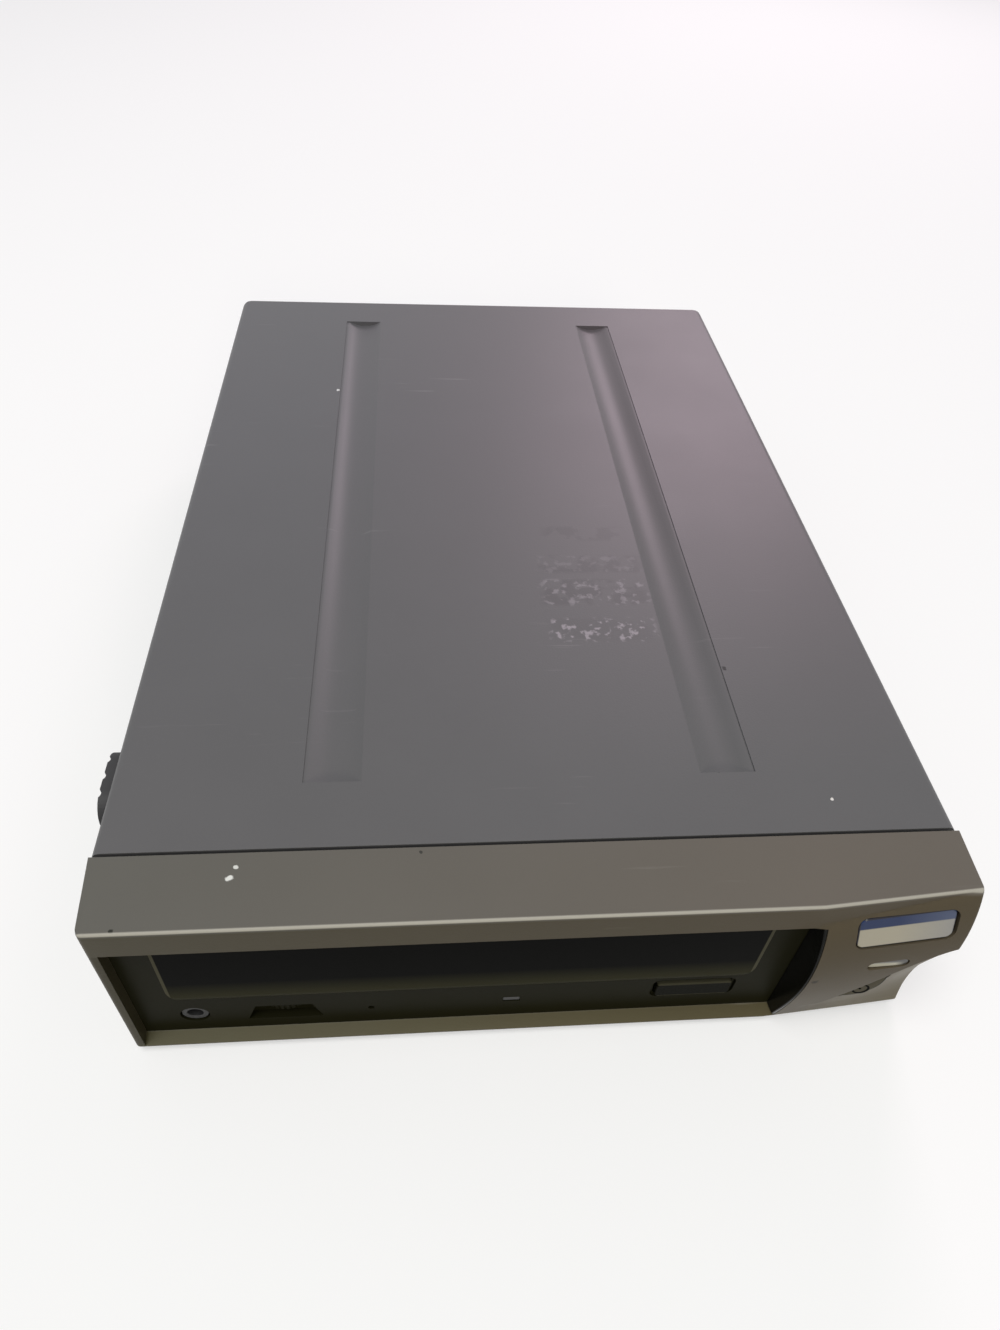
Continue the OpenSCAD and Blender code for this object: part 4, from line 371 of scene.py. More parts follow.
def cover_tint(tree, tone):
    """Blue-grey at the left and mauve towards the right back, a painted reflection; a little warmer towards
    the front; with a rubbed patch right of the middle and a few pale and dark spots."""
    (x, y, _), place = axes_of(tree)
    side = ramp(tree, x, -0.06, 0.075)
    back = ramp(tree, y, -0.13, 0.05)
    # Painted reflection: blue-grey at the left, mauve towards the right back.
    far_right = times(tree, side, ramp(tree, y, -0.1, 0.03))
    sheen_hue = mix_colours(tree, far_right, (0.95, 0.98, 1.02, 1), (1.02, 0.9, 0.97, 1))
    toned = dyed(tree, tone, sheen_hue)
    front_warm = mix_colours(tree, back, (0.98, 0.98, 0.93, 1), (1, 1, 1, 1))
    toned = dyed(tree, toned, front_warm)
    rub_x = 23
    # Each rubbed row: Y on the case, half length and half width in mm, shares of dark and pale flecks
    rows = ((124, 10, 2.5, 0.3, 0), (110, 13, 3, 0.35, 0.12),
            (98, 13, 4.5, 0.35, 0.3), (83, 12, 3.5, 0.15, 0.6))
    for y0, half_l, half_w, dark, pale in rows:
        row = times(tree, near_to(tree, x, top_place(rub_x, y0)[0], half_l / 1000, 0.003),
                    near_to(tree, y, top_place(rub_x, y0)[1], half_w / 1000, 0.0015))
        for scale, low, share, colour in ((190, 0.45, dark, (0.07, 0.065, 0.07, 1)),
                                          (420, 0.54, pale, (0.4, 0.36, 0.4, 1))):
            rub = tree.nodes.new("ShaderNodeTexNoise")
            rub.inputs["Scale"].default_value = scale
            rub.inputs["Detail"].default_value = 4
            tree.links.new(place, rub.inputs["Vector"])
            flecks = times(tree, less(tree, rub.outputs["Fac"], low), 12, clamp=True)
            toned = mix_colours(tree, times(tree, times(tree, flecks, row), share), toned, colour)
    for at, size, colour in ((top_place(66.8, 26.9), 0.0005, (0.75, 0.73, 0.7, 1)),
                             (top_place(-52.1, 205.4), 0.0007, (0.7, 0.7, 0.7, 1)),
                             (top_place(-40.7, 109), 0.0009, (0.5, 0.5, 0.5, 1)),
                             (top_place(52.1, 68.3), 0.0008, (0.03, 0.03, 0.03, 1)),
                             (top_place(42.6, 35.6), 0.0008, (0.03, 0.03, 0.03, 1))):
        toned = mix_colours(tree, blot(tree, place, at, size), toned, colour)
    return toned


cover_grey = finish_of("cover_grey", (0.125, 0.121, 0.125), 0.4, grain_scale=1900, bump=0.000025, mottle=0.1,
                       scratches=0.25, bare=(0.3, 0.28, 0.3), tint=cover_tint, specular=0.2)
painted(softened("top_cover", 0.00035), cover_grey)

# Base tray: the lower half of the case, a shallow moulded tray of the same plastic with a rim that
# locates the cover, and pads and posts that carry the drive and the boards.
base_grey = finish_of("base_grey", (0.15, 0.146, 0.145), 0.5, grain_scale=1500, bump=0.00003, scratches=0.2,
                      bare=(0.28, 0.27, 0.27), specular=0.2)
painted(softened("base_tray", 0.0003), base_grey)

# Front bezel: a deep moulding whose right end bulges forward beside the opening, sweeps back to the
# right corner, and is scooped out below a slanting crease. It clips into the cover and the base.
half, top_z, depth = 91.4, 52.2, 17.6
opening_left, opening_wall, kink = -89.1, 59.6, 56.7
sill, bar = 1.9, 43.9
end_x, sweep_depth, flare = 91.9, 2.7, 1.35


def face_depth(x, z):
    """Depth of the front face: a straight sweep right of the kink, less a bulge that is the sine of a
    share of the height, plus a scoop that is a sine below the crease and grows to the right, and a small
    step along the crease."""
    sweep = np.clip(sweep_depth * (x - kink) / (half - kink), 0, None)
    wide = np.maximum(x, opening_wall)
    across = np.clip((wide - opening_wall) / (half - opening_wall), 0, 1)
    top = top_z - 7.2 * (1 - across)
    low = 0.5 * (1 - across)
    way = np.clip((top - z) / (top - low), 0, 1)
    bulge = (3.85 + 0.75 * across) * np.sin(np.pi * way ** 0.78)
    bulge = bulge * np.clip((x - kink) / (opening_wall - kink), 0, 1)
    gone = half - x
    crease = crease_height(x)
    size = 3.9 * np.clip(1 - gone / 27.6, 0, None) ** 3
    scoop = np.where(z < crease, size * np.sin(np.pi * (1 - z / crease)), 0)
    under = np.clip((crease - z) / 0.5, 0, 1) * np.clip(z / 6, 0, 1) * np.clip((27.6 - gone) / 5, 0, 1)
    return sweep - bulge + scoop + 0.3 * under


def crease_height(x):
    """Height of the scoop's upper edge: it falls away from the right end along a parabola."""
    gone = half - x
    return np.maximum(8, 35 - 0.36 * gone - gone ** 2 / 30.3)


def round_off(d, r):
    """Depth that a quarter round of radius r gives up at a distance d from the edge."""
    return np.where(d < r, r - np.sqrt(np.clip(r * r - (r - d) ** 2, 0, None)), 0)


def grid_faces(n, m, base=0, turned=False):
    """Quads of a grid of n columns by m rows, numbered column by column."""
    i, j = np.meshgrid(np.arange(n - 1), np.arange(m - 1), indexing="ij")
    a = (i * m + j).ravel() + base
    quads = np.stack([a, a + m, a + m + 1, a + 1], 1)
    return quads[:, ::-1] if turned else quads


def mesh_of(name, points, faces):
    """A mesh object from points in millimetres of the case, put in the model's frame in metres."""
    mesh = bpy.data.meshes.new(name)
    mesh.from_pydata(((np.asarray(points) + CASE) / 1000).tolist(), [], [list(map(int, f)) for f in faces])
    mesh.validate()
    piece = bpy.data.objects.new(name, mesh)
    bpy.context.scene.collection.objects.link(piece)
    return piece


def face_block(name, xs, low, high, inset, back, edge, corner, right_corner, rows):
    """A closed block behind the front face: a grid of columns and rows on the face, set back by an inset,
    the same grid flat at the back, and four walls between them. The outer columns drift outward."""
    share = np.linspace(0, 1, rows)
    soft = edge * (1 - np.cos(np.linspace(0, np.pi / 2, 5))[:-1]) if edge else np.array([])
    crease = crease_height(xs)
    columns = []
    for x, c in zip(xs, crease):
        last_low = rows // 2 * 2
        under = low + edge + (c - low - edge) * share[:last_low:2] / share[last_low - 2]
        inner = np.concatenate([under, c + (high - edge - c) * share[2::2]])
        columns.append(np.concatenate([low + soft, inner, (high - soft)[::-1]]))
    z = np.array(columns)
    x = np.repeat(xs[:, None], z.shape[1], 1)
    y = face_depth(x, z) + inset
    y = y + round_off(np.minimum(z - low, high - z), edge)
    y = y + round_off(x - xs[0], corner) + round_off(xs[-1] - x, right_corner)
    n, m = z.shape
    drift = np.zeros_like(x)
    drift[0] = -1 if xs[0] < 0 else 0
    drift[-1] = (half + flare - xs[-1]) / flare
    front = np.stack([x + drift * flare * y / depth, y, z], 2).reshape(-1, 3)
    rear = np.stack([x + drift * flare * back / depth, np.full_like(x, back), z], 2).reshape(-1, 3)
    faces = [grid_faces(n, m), grid_faces(n, m, n * m, True)]
    k = n * m
    walls = []
    for line, flip in ((np.arange(m), True), (np.arange(m) + (n - 1) * m, False),
                       (np.arange(n) * m, False), (np.arange(n) * m + m - 1, True)):
        quads = np.stack([line[:-1], line[:-1] + k, line[1:] + k, line[1:]], 1)
        walls.append(quads if flip else quads[:, ::-1])
    piece = mesh_of(name, np.concatenate([front, rear]), np.concatenate(faces + walls))
    outward(piece)
    return piece


def outward(piece):
    """Merges doubles and turns every face outward."""
    shape = bmesh.new()
    shape.from_mesh(piece.data)
    bmesh.ops.remove_doubles(shape, verts=shape.verts, dist=1e-7)
    bmesh.ops.recalc_face_normals(shape, faces=shape.faces)
    shape.to_mesh(piece.data)
    shape.free()


def prism(name, outline, low, high, place=None):
    """A closed prism: an outline in X and Z carried along Y between two depths, then placed."""
    outline = np.asarray(outline, float)
    n = len(outline)
    near = np.stack([outline[:, 0], np.full(n, low), outline[:, 1]], 1)
    far = np.stack([outline[:, 0], np.full(n, high), outline[:, 1]], 1)
    points = np.concatenate([near, far])
    if place is not None:
        points = place(points)
    ring = np.arange(n)
    walls = np.stack([ring, (ring + 1) % n, (ring + 1) % n + n, ring + n], 1).tolist()
    piece = mesh_of(name, points, walls + [list(range(n))[::-1], list(range(n, 2 * n))])
    outward(piece)
    return piece


def box_outline(x0, x1, z0, z1):
    """The four corners of a rectangle."""
    return [(x0, z0), (x1, z0), (x1, z1), (x0, z1)]


def rounded_outline(length, height, r, steps=8):
    """A rectangle round the origin with quarter rounds at its corners."""
    turn = np.linspace(0, np.pi / 2, steps)
    corners = [(length / 2 - r, height / 2 - r, 0), (-length / 2 + r, height / 2 - r, 1),
               (-length / 2 + r, -height / 2 + r, 2), (length / 2 - r, -height / 2 + r, 3)]
    return [(cx + r * math.cos(t + q * math.pi / 2), cz + r * math.sin(t + q * math.pi / 2))
            for cx, cz, q in corners for t in turn]


chord_at, chord_l, chord_rise = np.array([70.6, 12.2]), 15.5, math.radians(54)
along = np.array([math.cos(chord_rise), math.sin(chord_rise)])
below = np.array([math.sin(chord_rise), -math.cos(chord_rise)])


leaf_high, leaf_low = 0.7, 3.2


def leaf_arcs():
    """The middle and radius of each of the leaf's two arcs, upper and lower, in X and Z of the case."""
    for rise, side_of in ((leaf_high, -1), (leaf_low, 1)):
        radius = (chord_l ** 2 / 4 + rise ** 2) / (2 * rise)
        yield chord_at + chord_l / 2 * along - side_of * (radius - rise) * below, radius


def leaf_outline(grow, steps=20):
    """The button's leaf: two arcs over one chord, met at their crossings, grown by a margin, and set at
    its place and slant on the panel."""
    length = chord_l
    radii = [(length ** 2 / 4 + h ** 2) / (2 * h) for h in (leaf_high, leaf_low)]
    centres = [leaf_high - radii[0], radii[1] - leaf_low]
    r0, r1 = radii[0] + grow, radii[1] + grow
    gap = centres[1] - centres[0]
    v = (gap ** 2 + r0 ** 2 - r1 ** 2) / (2 * gap)
    u = math.sqrt(r0 ** 2 - v ** 2)
    a0 = math.asin(u / r0)
    a1 = math.asin(u / r1)
    upper = [(length / 2 + r0 * math.sin(t), centres[0] + r0 * math.cos(t))
             for t in np.linspace(-a0, a0, steps)]
    lower = [(length / 2 + r1 * math.sin(t), centres[1] - r1 * math.cos(t))
             for t in np.linspace(a1, -a1, steps)]
    flat = np.array(upper + lower[1:-1])
    return chord_at + flat[:, :1] * along - flat[:, 1:] * below


def leaf_depth(x, z):
    """Depth of the button's face: sunk a little under the crease, and tipped up below it, so that its
    lower edge stands out."""
    place = np.stack([x, z], -1) - chord_at
    share = np.clip(place @ along / chord_l, 0, 1)
    ends = [float(face_depth(*(chord_at + part * chord_l * along))) for part in (0, 1)]
    return ends[0] + (ends[1] - ends[0]) * share + 0.3 - 0.24 * (place @ below)


def turned(points, about, turn):
    """Points turned about X, Y and Z in order, in degrees, then moved to a place."""
    turn_by = np.array(Euler([math.radians(a) for a in turn]).to_matrix())
    return points @ turn_by.T + np.array(about)


def carve(piece, cutters):
    """Cuts closed meshes out of a piece one by one, and deletes them."""
    for cutter in cutters:
        cut = piece.modifiers.new("carved", "BOOLEAN")
        cut.object = cutter
        cut.solver = "EXACT"
    done = bpy.data.meshes.new_from_object(piece.evaluated_get(bpy.context.evaluated_depsgraph_get()))
    piece.modifiers.clear()
    old = piece.data
    piece.data = done
    bpy.data.meshes.remove(old)
    for cutter in cutters:
        bpy.data.meshes.remove(cutter.data)
    shape = bmesh.new()
    shape.from_mesh(done)
    bmesh.ops.remove_doubles(shape, verts=shape.verts, dist=1e-6)
    for face in shape.faces:
        face.smooth = True
    shape.to_mesh(done)
    shape.free()
    done.set_sharp_from_angle(angle=math.radians(28))


bezel_xs = np.concatenate([-half + 1.2 * (1 - np.cos(np.linspace(0, np.pi / 2, 7))), np.linspace(-85, 50, 12),
                           np.linspace(kink, opening_wall, 6), np.linspace(opening_wall + 0.4, end_x - 1, 76),
                           end_x - 0.8 * (1 - np.sin(np.linspace(0, np.pi / 2, 6)))[1:]])
bezel = face_block("front_bezel_shell", bezel_xs, 0, top_z, 0, depth, 0.7, 1.2, 0.5, 110)
wall = 2.4
bay = face_block("bezel_bay", np.linspace(opening_wall + 1.4, half - wall, 30), wall, top_z - wall, wall,
                 depth + 0.5, 0, 0, 0, 40)
nest = prism("bezel_nest", box_outline(-15.4 - 74.3, -15.4 + 74.3, 1.3, 49.8), 3, depth + 0.5)
mouth = prism("bezel_mouth", box_outline(opening_left, opening_wall, sill, bar), -9, 3.5)
side = np.array([(-0.5, 1), (0, 1), (3, 1.9), (3, bar - 0.01), (-0.5, bar - 0.01)])
ends = [np.stack([np.full(5, x), side[:, 0], side[:, 1]], 1) for x in (opening_left, opening_wall - 0.01)]
sill_sides = [(i, i + 5, (i + 1) % 5 + 5, (i + 1) % 5) for i in range(5)]
sill_cut = mesh_of("bezel_sill", np.concatenate(ends), [(0, 1, 2, 3, 4), (9, 8, 7, 6, 5)] + sill_sides)
outward(sill_cut)
label_turn, label_at = (-16, -5.2, 2.5), (77.2, -0.5, 42.9)


def on_label(points):
    """The label window's own place on the panel: its face tips up, back and a little round."""
    return turned(points, label_at, label_turn)


label_l, label_h, label_r = 21.6, 8.6, 2.1
label_gap = 0.5
label_pocket = rounded_outline(label_l + label_gap, label_h + label_gap, label_r + label_gap / 2)
label_cut = prism("label_pocket", label_pocket, -5, 1.2, on_label)
slot_face = float(face_depth(np.array(76.6), np.array(31.0)))


def on_slot(points):
    """The indicator slot's place: turned a little so that its right end is higher."""
    return turned(points, (76.6, 0, 31), (0, -4, 0))


slot_cut = prism("slot_pocket", rounded_outline(9.6, 3.2, 1.59), slot_face - 4, slot_face + 1.8, on_slot)
pipe_cut = prism("pipe_hole", rounded_outline(2.6, 2.6, 1.29), -4, 12.4, on_slot)
leaf_cut = prism("leaf_hole", leaf_outline(0.35), -6, 12.4)
carve(bezel, [bay, nest, mouth, sill_cut, label_cut, slot_cut, pipe_cut, leaf_cut])
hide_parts("front_bezel")
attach(bezel, "case")


def bezel_tint(tree, tone):
    """One pale chip, a dark scratch and a dark fleck beside the opening; a painted reflection, bluish at the
    left and warm at the right; painted shade over the front face, darker still on its left strip; darker and
    warmer along the bottom edge; painted light on the scoop below the crease; a painted highlight on the top
    front edge."""
    (x, y, z), place = axes_of(tree)
    for at, size, colour in ((top_place(-63.9, 11.8), 0.0009, (0.78, 0.78, 0.74, 1)),
                             (top_place(-62.9, 14.2), 0.0006, (0.7, 0.7, 0.66, 1)),
                             (top_place(-84.7, 0.9), 0.0005, (0.03, 0.03, 0.025, 1)),
                             (top_place(61.1, -3.3, 26.1), 0.0009, (0.04, 0.035, 0.03, 1)),
                             (top_place(-25.5, 16.4), 0.0004, (0.05, 0.05, 0.045, 1))):
        tone = mix_colours(tree, blot(tree, place, at, size), tone, colour)
    # Painted reflection: bluish at the left, warm at the right.
    side = ramp(tree, x, -0.09, 0.06)
    sheen_hue = mix_colours(tree, side, (0.94, 0.98, 0.99, 1), (1.05, 1.0, 0.97, 1))
    tone = dyed(tree, tone, sheen_hue)
    # Painted shade: the front face below the top edge is darker and warmer, and its left strip darker still.
    front = times(tree, ramp(tree, z, 0.0541, 0.0535), ramp(tree, z, 0.0045, 0.0047))
    tone = dyed(tree, tone, (0.66, 0.6, 0.46, 1), front)
    shaded_strip = times(tree, ramp(tree, x, -0.0868, -0.0874), ramp(tree, z, 0.0464, 0.0460))
    tone = dyed(tree, tone, (0.6, 0.58, 0.46, 1), shaded_strip)
    low = ramp(tree, z, 0.0046, 0.0043)
    tone = dyed(tree, tone, (0.72, 0.68, 0.42, 1), low)
    # Painted light: the scoop below the crease is lighter towards the right end.
    gone = times(tree, less(tree, float(top_place(half, 0)[0]), x), 1000.0)
    fall = plus(tree, times(tree, gone, 0.36),
                     math_node(tree, "DIVIDE", times(tree, gone, gone), 30.3))
    over = plus(tree, times(tree, less(tree, z, CASE[2] / 1000), 1000.0), fall)
    lit_scoop = times(tree, ramp(tree, over, 35.4, 34.8), ramp(tree, gone, 27, 16))
    tone = mix_colours(tree, times(tree, lit_scoop, 0.6), tone, (0.26, 0.235, 0.18, 1))
    # Painted highlight: a pale line along the rounded top front edge, following its sweep back at the right.
    sweep = times(tree, math_node(tree, "MAXIMUM", less(tree, x, float(top_place(kink, 0)[0])), 0.0),
                      sweep_depth / (half - kink))
    into = less(tree, less(tree, y, sweep), float(top_place(0, 0)[1]))
    rim = times(tree, ramp(tree, into, 0.00075, 0.00045), ramp(tree, z, 0.0541, 0.0544))
    return mix_colours(tree, times(tree, rim, 0.8), tone, (0.5, 0.48, 0.42, 1))


bezel_grey = finish_of("bezel_grey", (0.135, 0.127, 0.112), 0.42, grain_scale=1900, bump=0.00002, mottle=0.09,
                       scratches=0.25, bare=(0.3, 0.29, 0.26), tint=bezel_tint, specular=0.1)
painted(bezel, bezel_grey)

# Cheek: the wall at the right end of the opening, moulded in glossy black plastic and pressed in
# beside the drive.
gloss_black = finish_of("cheek_black", (0.006, 0.006, 0.005), 0.2, bump=0.000004, mottle=0.2, spread=0.08,
                        specular=0.1)
painted(softened("opening_cheek", 0.0002), gloss_black)

# Label window: a clear lens over a two-tone backing, blue above and silver below, in a dark frame.
# The backing carries nothing.


def label_tint(tree, tone):
    """A blue band over the upper third and pale silver under it, darker along the lens's edge."""
    _, place = axes_of(tree)
    flat = tree.nodes.new("ShaderNodeMapping")
    flat.vector_type = "TEXTURE"
    flat.inputs["Location"].default_value = tuple((np.array(label_at) + CASE) / 1000)
    flat.inputs["Rotation"].default_value = tuple(math.radians(a) for a in label_turn)
    tree.links.new(place, flat.inputs["Vector"])
    own = tree.nodes.new("ShaderNodeSeparateXYZ")
    tree.links.new(flat.outputs[0], own.inputs[0])
    band = ramp(tree, own.outputs[2], 0.0011, 0.0014)
    body = mix_colours(tree, band, (0.46, 0.43, 0.35, 1), (0.014, 0.032, 0.11, 1))
    deep = mix_colours(tree, ramp(tree, own.outputs[0], -0.002, 0.011), body,
                       mix_colours(tree, 0.4, body, (0.2, 0.24, 0.36, 1)))
    long_way = math_node(tree, "ABSOLUTE", own.outputs[0])
    high_way = math_node(tree, "ABSOLUTE", own.outputs[2])
    rim = math_node(tree, "MAXIMUM", ramp(tree, long_way, 0.0103, 0.0105),
                    ramp(tree, high_way, 0.0038, 0.004))
    return mix_colours(tree, rim, deep, (0.02, 0.02, 0.03, 1))


label_print = finish_of("label_backing", (0.3, 0.3, 0.3), 0.16, bump=0.000003, mottle=0.05, coat=0.12,
                        tint=label_tint, specular=0.2)
label = prism("label_lens", rounded_outline(label_l, label_h, label_r), 0.1, 1.2, on_label)
lens_edge = label.modifiers.new("lens_edge", "BEVEL")
lens_edge.width = 0.0003
lens_edge.segments = 2
label.data.shade_smooth()
label.data.set_sharp_from_angle(angle=math.radians(30))
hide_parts("label_window")
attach(label, "case")
painted(label, label_print)

# Indicator: a frosted light pipe whose pill-shaped end shows in a slot under the label. It is held in
# the bezel and carries the light of the board behind it.


def lit_and_shaded_frost(tree, tone):
    """Pale at its lower left and dark elsewhere, most of all at its upper right: painted light where light
    falls on the pipe's end, and painted shade under the slot's upper edge.
    """
    (x, _, z), _ = axes_of(tree)
    # Painted light at the lower left; painted shade over the rest.
    low = ramp(tree, z, float(top_place(0, 0, 31.6)[2]), float(top_place(0, 0, 30.6)[2]))
    left = ramp(tree, x, float(top_place(80.5, 0)[0]), float(top_place(78.5, 0)[0]))
    return mix_colours(tree, times(tree, low, left), (0.03, 0.03, 0.027, 1), tone)


frosted = finish_of("indicator_frost", (0.7, 0.68, 0.58), 0.3, bump=0.00001, mottle=0.2, tint=lit_and_shaded_frost)
painted(softened("indicator_lens", 0.0003), frosted)
lens_face = prism("indicator_face", rounded_outline(9.1, 2.7, 1.34), slot_face + 0.45,
                  slot_face + 1.7, on_slot)
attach(lens_face, "case")
painted(lens_face, frosted)

# Power button: a leaf on the crease of the panel, moulded to the panel's own curve, with the usual
# standby sign in its middle. It presses a switch on the board behind it.
leaf = leaf_outline(-0.1, 28)
leaf_centre = chord_at + chord_l / 2 * along + 1.2 * below
steps = np.concatenate([np.linspace(0, 0.86, 12), 1 - 0.14 * (1 - np.sin(np.linspace(0, np.pi / 2, 6)))[1:]])
rings = leaf_centre + (leaf - leaf_centre) * steps[:, None, None]
reach = np.linalg.norm(leaf - leaf_centre, axis=1)
edge_gap = reach * (1 - steps[:, None]) * 0.6
skin_y = leaf_depth(rings[..., 0], rings[..., 1]) + round_off(edge_gap, 0.35)
button_skin = np.stack([rings[..., 0], skin_y, rings[..., 1]], 2)
wall_ring = button_skin[-1].copy()
wall_ring[:, 1] = 3.4
layers = np.concatenate([button_skin[1:], wall_ring[None]])
count = len(leaf)
points = np.concatenate([button_skin[0][:1], layers.reshape(-1, 3), [[leaf_centre[0], 3.4, leaf_centre[1]]]])
around = np.arange(count)
after = (around + 1) % count
faces = [(0, 1 + a, 1 + b) for a, b in zip(around, after)]
for ring in range(len(layers) - 1):
    base = 1 + ring * count
    faces += np.stack([base + around, base + count + around, base + count + after, base + after], 1).tolist()
last = len(points) - 1
faces += [(last, last - count + b, last - count + a) for a, b in zip(around, after)]
button = mesh_of("power_button_leaf", points, faces)
outward(button)
button.data.shade_smooth()
button.data.set_sharp_from_angle(angle=math.radians(50))
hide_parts("power_button")
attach(button, "power_button")


def leaf_gap_shade(tree, tone):
    """The leaf's rim and its walls are dark: painted shade of the gap round the button."""
    _, place = axes_of(tree)
    flat = tree.nodes.new("ShaderNodeMapping")
    flat.inputs["Scale"].default_value = (1, 0, 1)
    tree.links.new(place, flat.inputs["Vector"])
    for middle, radius in leaf_arcs():
        far = tree.nodes.new("ShaderNodeVectorMath")
        far.operation = "DISTANCE"
        tree.links.new(flat.outputs[0], far.inputs[0])
        far.inputs[1].default_value = ((middle[0] + CASE[0]) / 1000, 0, (middle[1] + CASE[2]) / 1000)
        # Painted shade: a dark band just inside each arc, and over the walls beyond it.
        rim = ramp(tree, far.outputs["Value"], (radius - 0.55) / 1000, (radius - 0.4) / 1000)
        tone = mix_colours(tree, rim, tone, (0.008, 0.0075, 0.006, 1))
    return tone


button_grey = finish_of("button_grey", (0.115, 0.105, 0.08), 0.36, bump=0.000012, mottle=0.1, specular=0.05,
                        tint=leaf_gap_shade)
painted(button, button_grey)


def printed_band(name, path, width, body, closed):
    """A thin printed line on the button's skin: a path in X and Z, given a width across it, laid on the
    button's own depth, and a little thickness."""
    path = np.asarray(path, float)
    way = np.roll(path, -1, 0) - np.roll(path, 1, 0) if closed else np.gradient(path, axis=0)
    way = way / np.linalg.norm(way, axis=1)[:, None]
    out = np.stack([-way[:, 1], way[:, 0]], 1) * width / 2
    sides = [path - out, path + out]
    lines = [np.stack([s[:, 0], leaf_depth(s[:, 0], s[:, 1]) + lie, s[:, 1]], 1)
             for s, lie in ((sides[0], 0.03), (sides[0], -0.05), (sides[1], -0.05), (sides[1], 0.03))]
    n = len(path)
    quads = []
    for k in range(4):
        a, b = k * n, ((k + 1) % 4) * n
        i = np.arange(n if closed else n - 1)
        j = (i + 1) % n
        quads += np.stack([a + i, a + j, b + j, b + i], 1).tolist()
    if not closed:
        quads += [[0, n, 2 * n, 3 * n], [n - 1, 4 * n - 1, 3 * n - 1, 2 * n - 1]]
    band = mesh_of(name, np.concatenate(lines), quads)
    outward(band)
    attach(band, body)
    return band


sign_at = chord_at + 6.6 * along + 1.35 * below
sweep_angles = np.radians(np.linspace(125, 415, 40))
sign_ink = finish_of("sign_ink", (0.004, 0.004, 0.003), 0.4, bump=0.000003, specular=0.02)
arc = sign_at + 1.9 * np.cos(sweep_angles)[:, None] * along - 1.25 * np.sin(sweep_angles)[:, None] * below
painted(printed_band("standby_arc", arc, 0.5, "power_button", False), sign_ink)
stroke = sign_at - np.linspace(0, 1.6, 6)[:, None] * below
painted(printed_band("standby_stroke", stroke, 0.5, "power_button", False), sign_ink)

# Feet: black rubber, four round ones under the base and three ribbed ones on the left side, on which
# the case can stand upright.
foot_rubber = finish_of("foot_rubber", (0.018, 0.018, 0.02), 0.62, grain_scale=1400, bump=0.00005, mottle=0.3)
painted(softened("base_feet", 0.0004), foot_rubber)
painted(softened("side_feet", 0.0005), foot_rubber)

# Screws: zinc-plated steel. From below they hold the drive and the cover to the base; the others sit
# in the case's back edge and in the fan's corners.
zinc = finish_of("screw_zinc", (0.5, 0.5, 0.48), 0.32, bump=0.00001, metal=1.0, mottle=0.2)
for node in ("base_screws", "rear_screws", "fan_screws"):
    painted(softened(node, 0.0002), zinc)

# Rear panel: a painted steel plate, stamped with openings for the fan, sockets and inlet, and held in
# the cover's back frame.
panel_paint = finish_of("rear_panel_paint", (0.2, 0.2, 0.21), 0.5, grain_scale=3000, bump=0.00003,
                        scratches=0.3, bare=(0.45, 0.45, 0.45))
painted(softened("rear_panel", 0.00012), panel_paint)

# Fan: a frame with four struts and a seven-bladed rotor on its shaft, both moulded in black plastic.
# Screws at its corners hold it behind the rear panel.
fan_black = finish_of("fan_black", (0.02, 0.02, 0.021), 0.38, bump=0.00001, mottle=0.2)
painted(softened("fan_frame", 0.0003), fan_black)
painted(softened("fan_rotor", 0.0002), fan_black)

# Mains inlet: a socket moulded in black plastic, set in the rear panel, with three flat plated pins
# in its well and solder tabs behind.
pin_brass = (0.62, 0.55, 0.38)


def inlet_tint(tree, tone):
    """Plated pins inside the black shell: what lies within the well's middle is metal coloured."""
    (x, _, z), _ = axes_of(tree)
    mid_x = math_node(tree, "ABSOLUTE", less(tree, x, 0.0666))
    on_side = times(tree, ramp(tree, mid_x, 0.00590, 0.00595), ramp(tree, mid_x, 0.00805, 0.0080))
    on_mid = ramp(tree, mid_x, 0.00105, 0.001)
    near = ramp(tree, math_node(tree, "ABSOLUTE", less(tree, z, 0.0315)), 0.00475, 0.0047)
    return mix_colours(tree, times(tree, math_node(tree, "MAXIMUM", on_side, on_mid), near),
                       tone, (*pin_brass, 1))


inlet_black = finish_of("inlet_black", (0.016, 0.016, 0.016), 0.4, bump=0.000015, tint=inlet_tint)
painted(softened("power_inlet", 0.00025), inlet_black)

# Power supply and boards: a brown phenolic board with a taped transformer, sleeved capacitors and a
# finned aluminium heat sink soldered to it, and the four green laminates of the case and drive.
boards = {
    "psu_board": ("phenolic", (0.3, 0.19, 0.07), 0.55),
    "bridge_board": ("bridge_laminate", (0.02, 0.11, 0.05), 0.35),
    "control_board": ("control_laminate", (0.02, 0.11, 0.05), 0.35),
    "drive_board": ("drive_laminate", (0.018, 0.1, 0.05), 0.35),
    "front_board": ("front_laminate", (0.02, 0.11, 0.05), 0.35),
}


def tracks(line_colour, above=None):
    """Copper tracks under lacquer: thin square steps of a brick pattern in a slightly lighter tone; parts
    that stand above a height are black."""
    def tint(tree, tone):
        (_, _, z), place = axes_of(tree)
        bricks = tree.nodes.new("ShaderNodeTexBrick")
        bricks.inputs["Scale"].default_value = 160
        bricks.inputs["Mortar Size"].default_value = 0.03
        bricks.inputs["Color1"].default_value = (1, 1, 1, 1)
        bricks.inputs["Color2"].default_value = (0.86, 0.9, 0.86, 1)
        bricks.inputs["Mortar"].default_value = (*line_colour, 1)
        tree.links.new(place, bricks.inputs["Vector"])
        laid = dyed(tree, tone, bricks.outputs["Color"])
        if above is None:
            return laid
        return mix_colours(tree, ramp(tree, z, above, above + 0.00005), laid, (0.02, 0.02, 0.021, 1))
    return tint


for node, (title, colour, rough) in boards.items():
    high = {"drive_board": 0.0081, "front_board": 0.0080}.get(node)
    laminate = finish_of(title, colour, rough, grain_scale=900, bump=0.00001, mottle=0.2,
                         tint=tracks((1.5, 1.4, 1.1), high))
    painted(softened(node, 0.0), laminate)


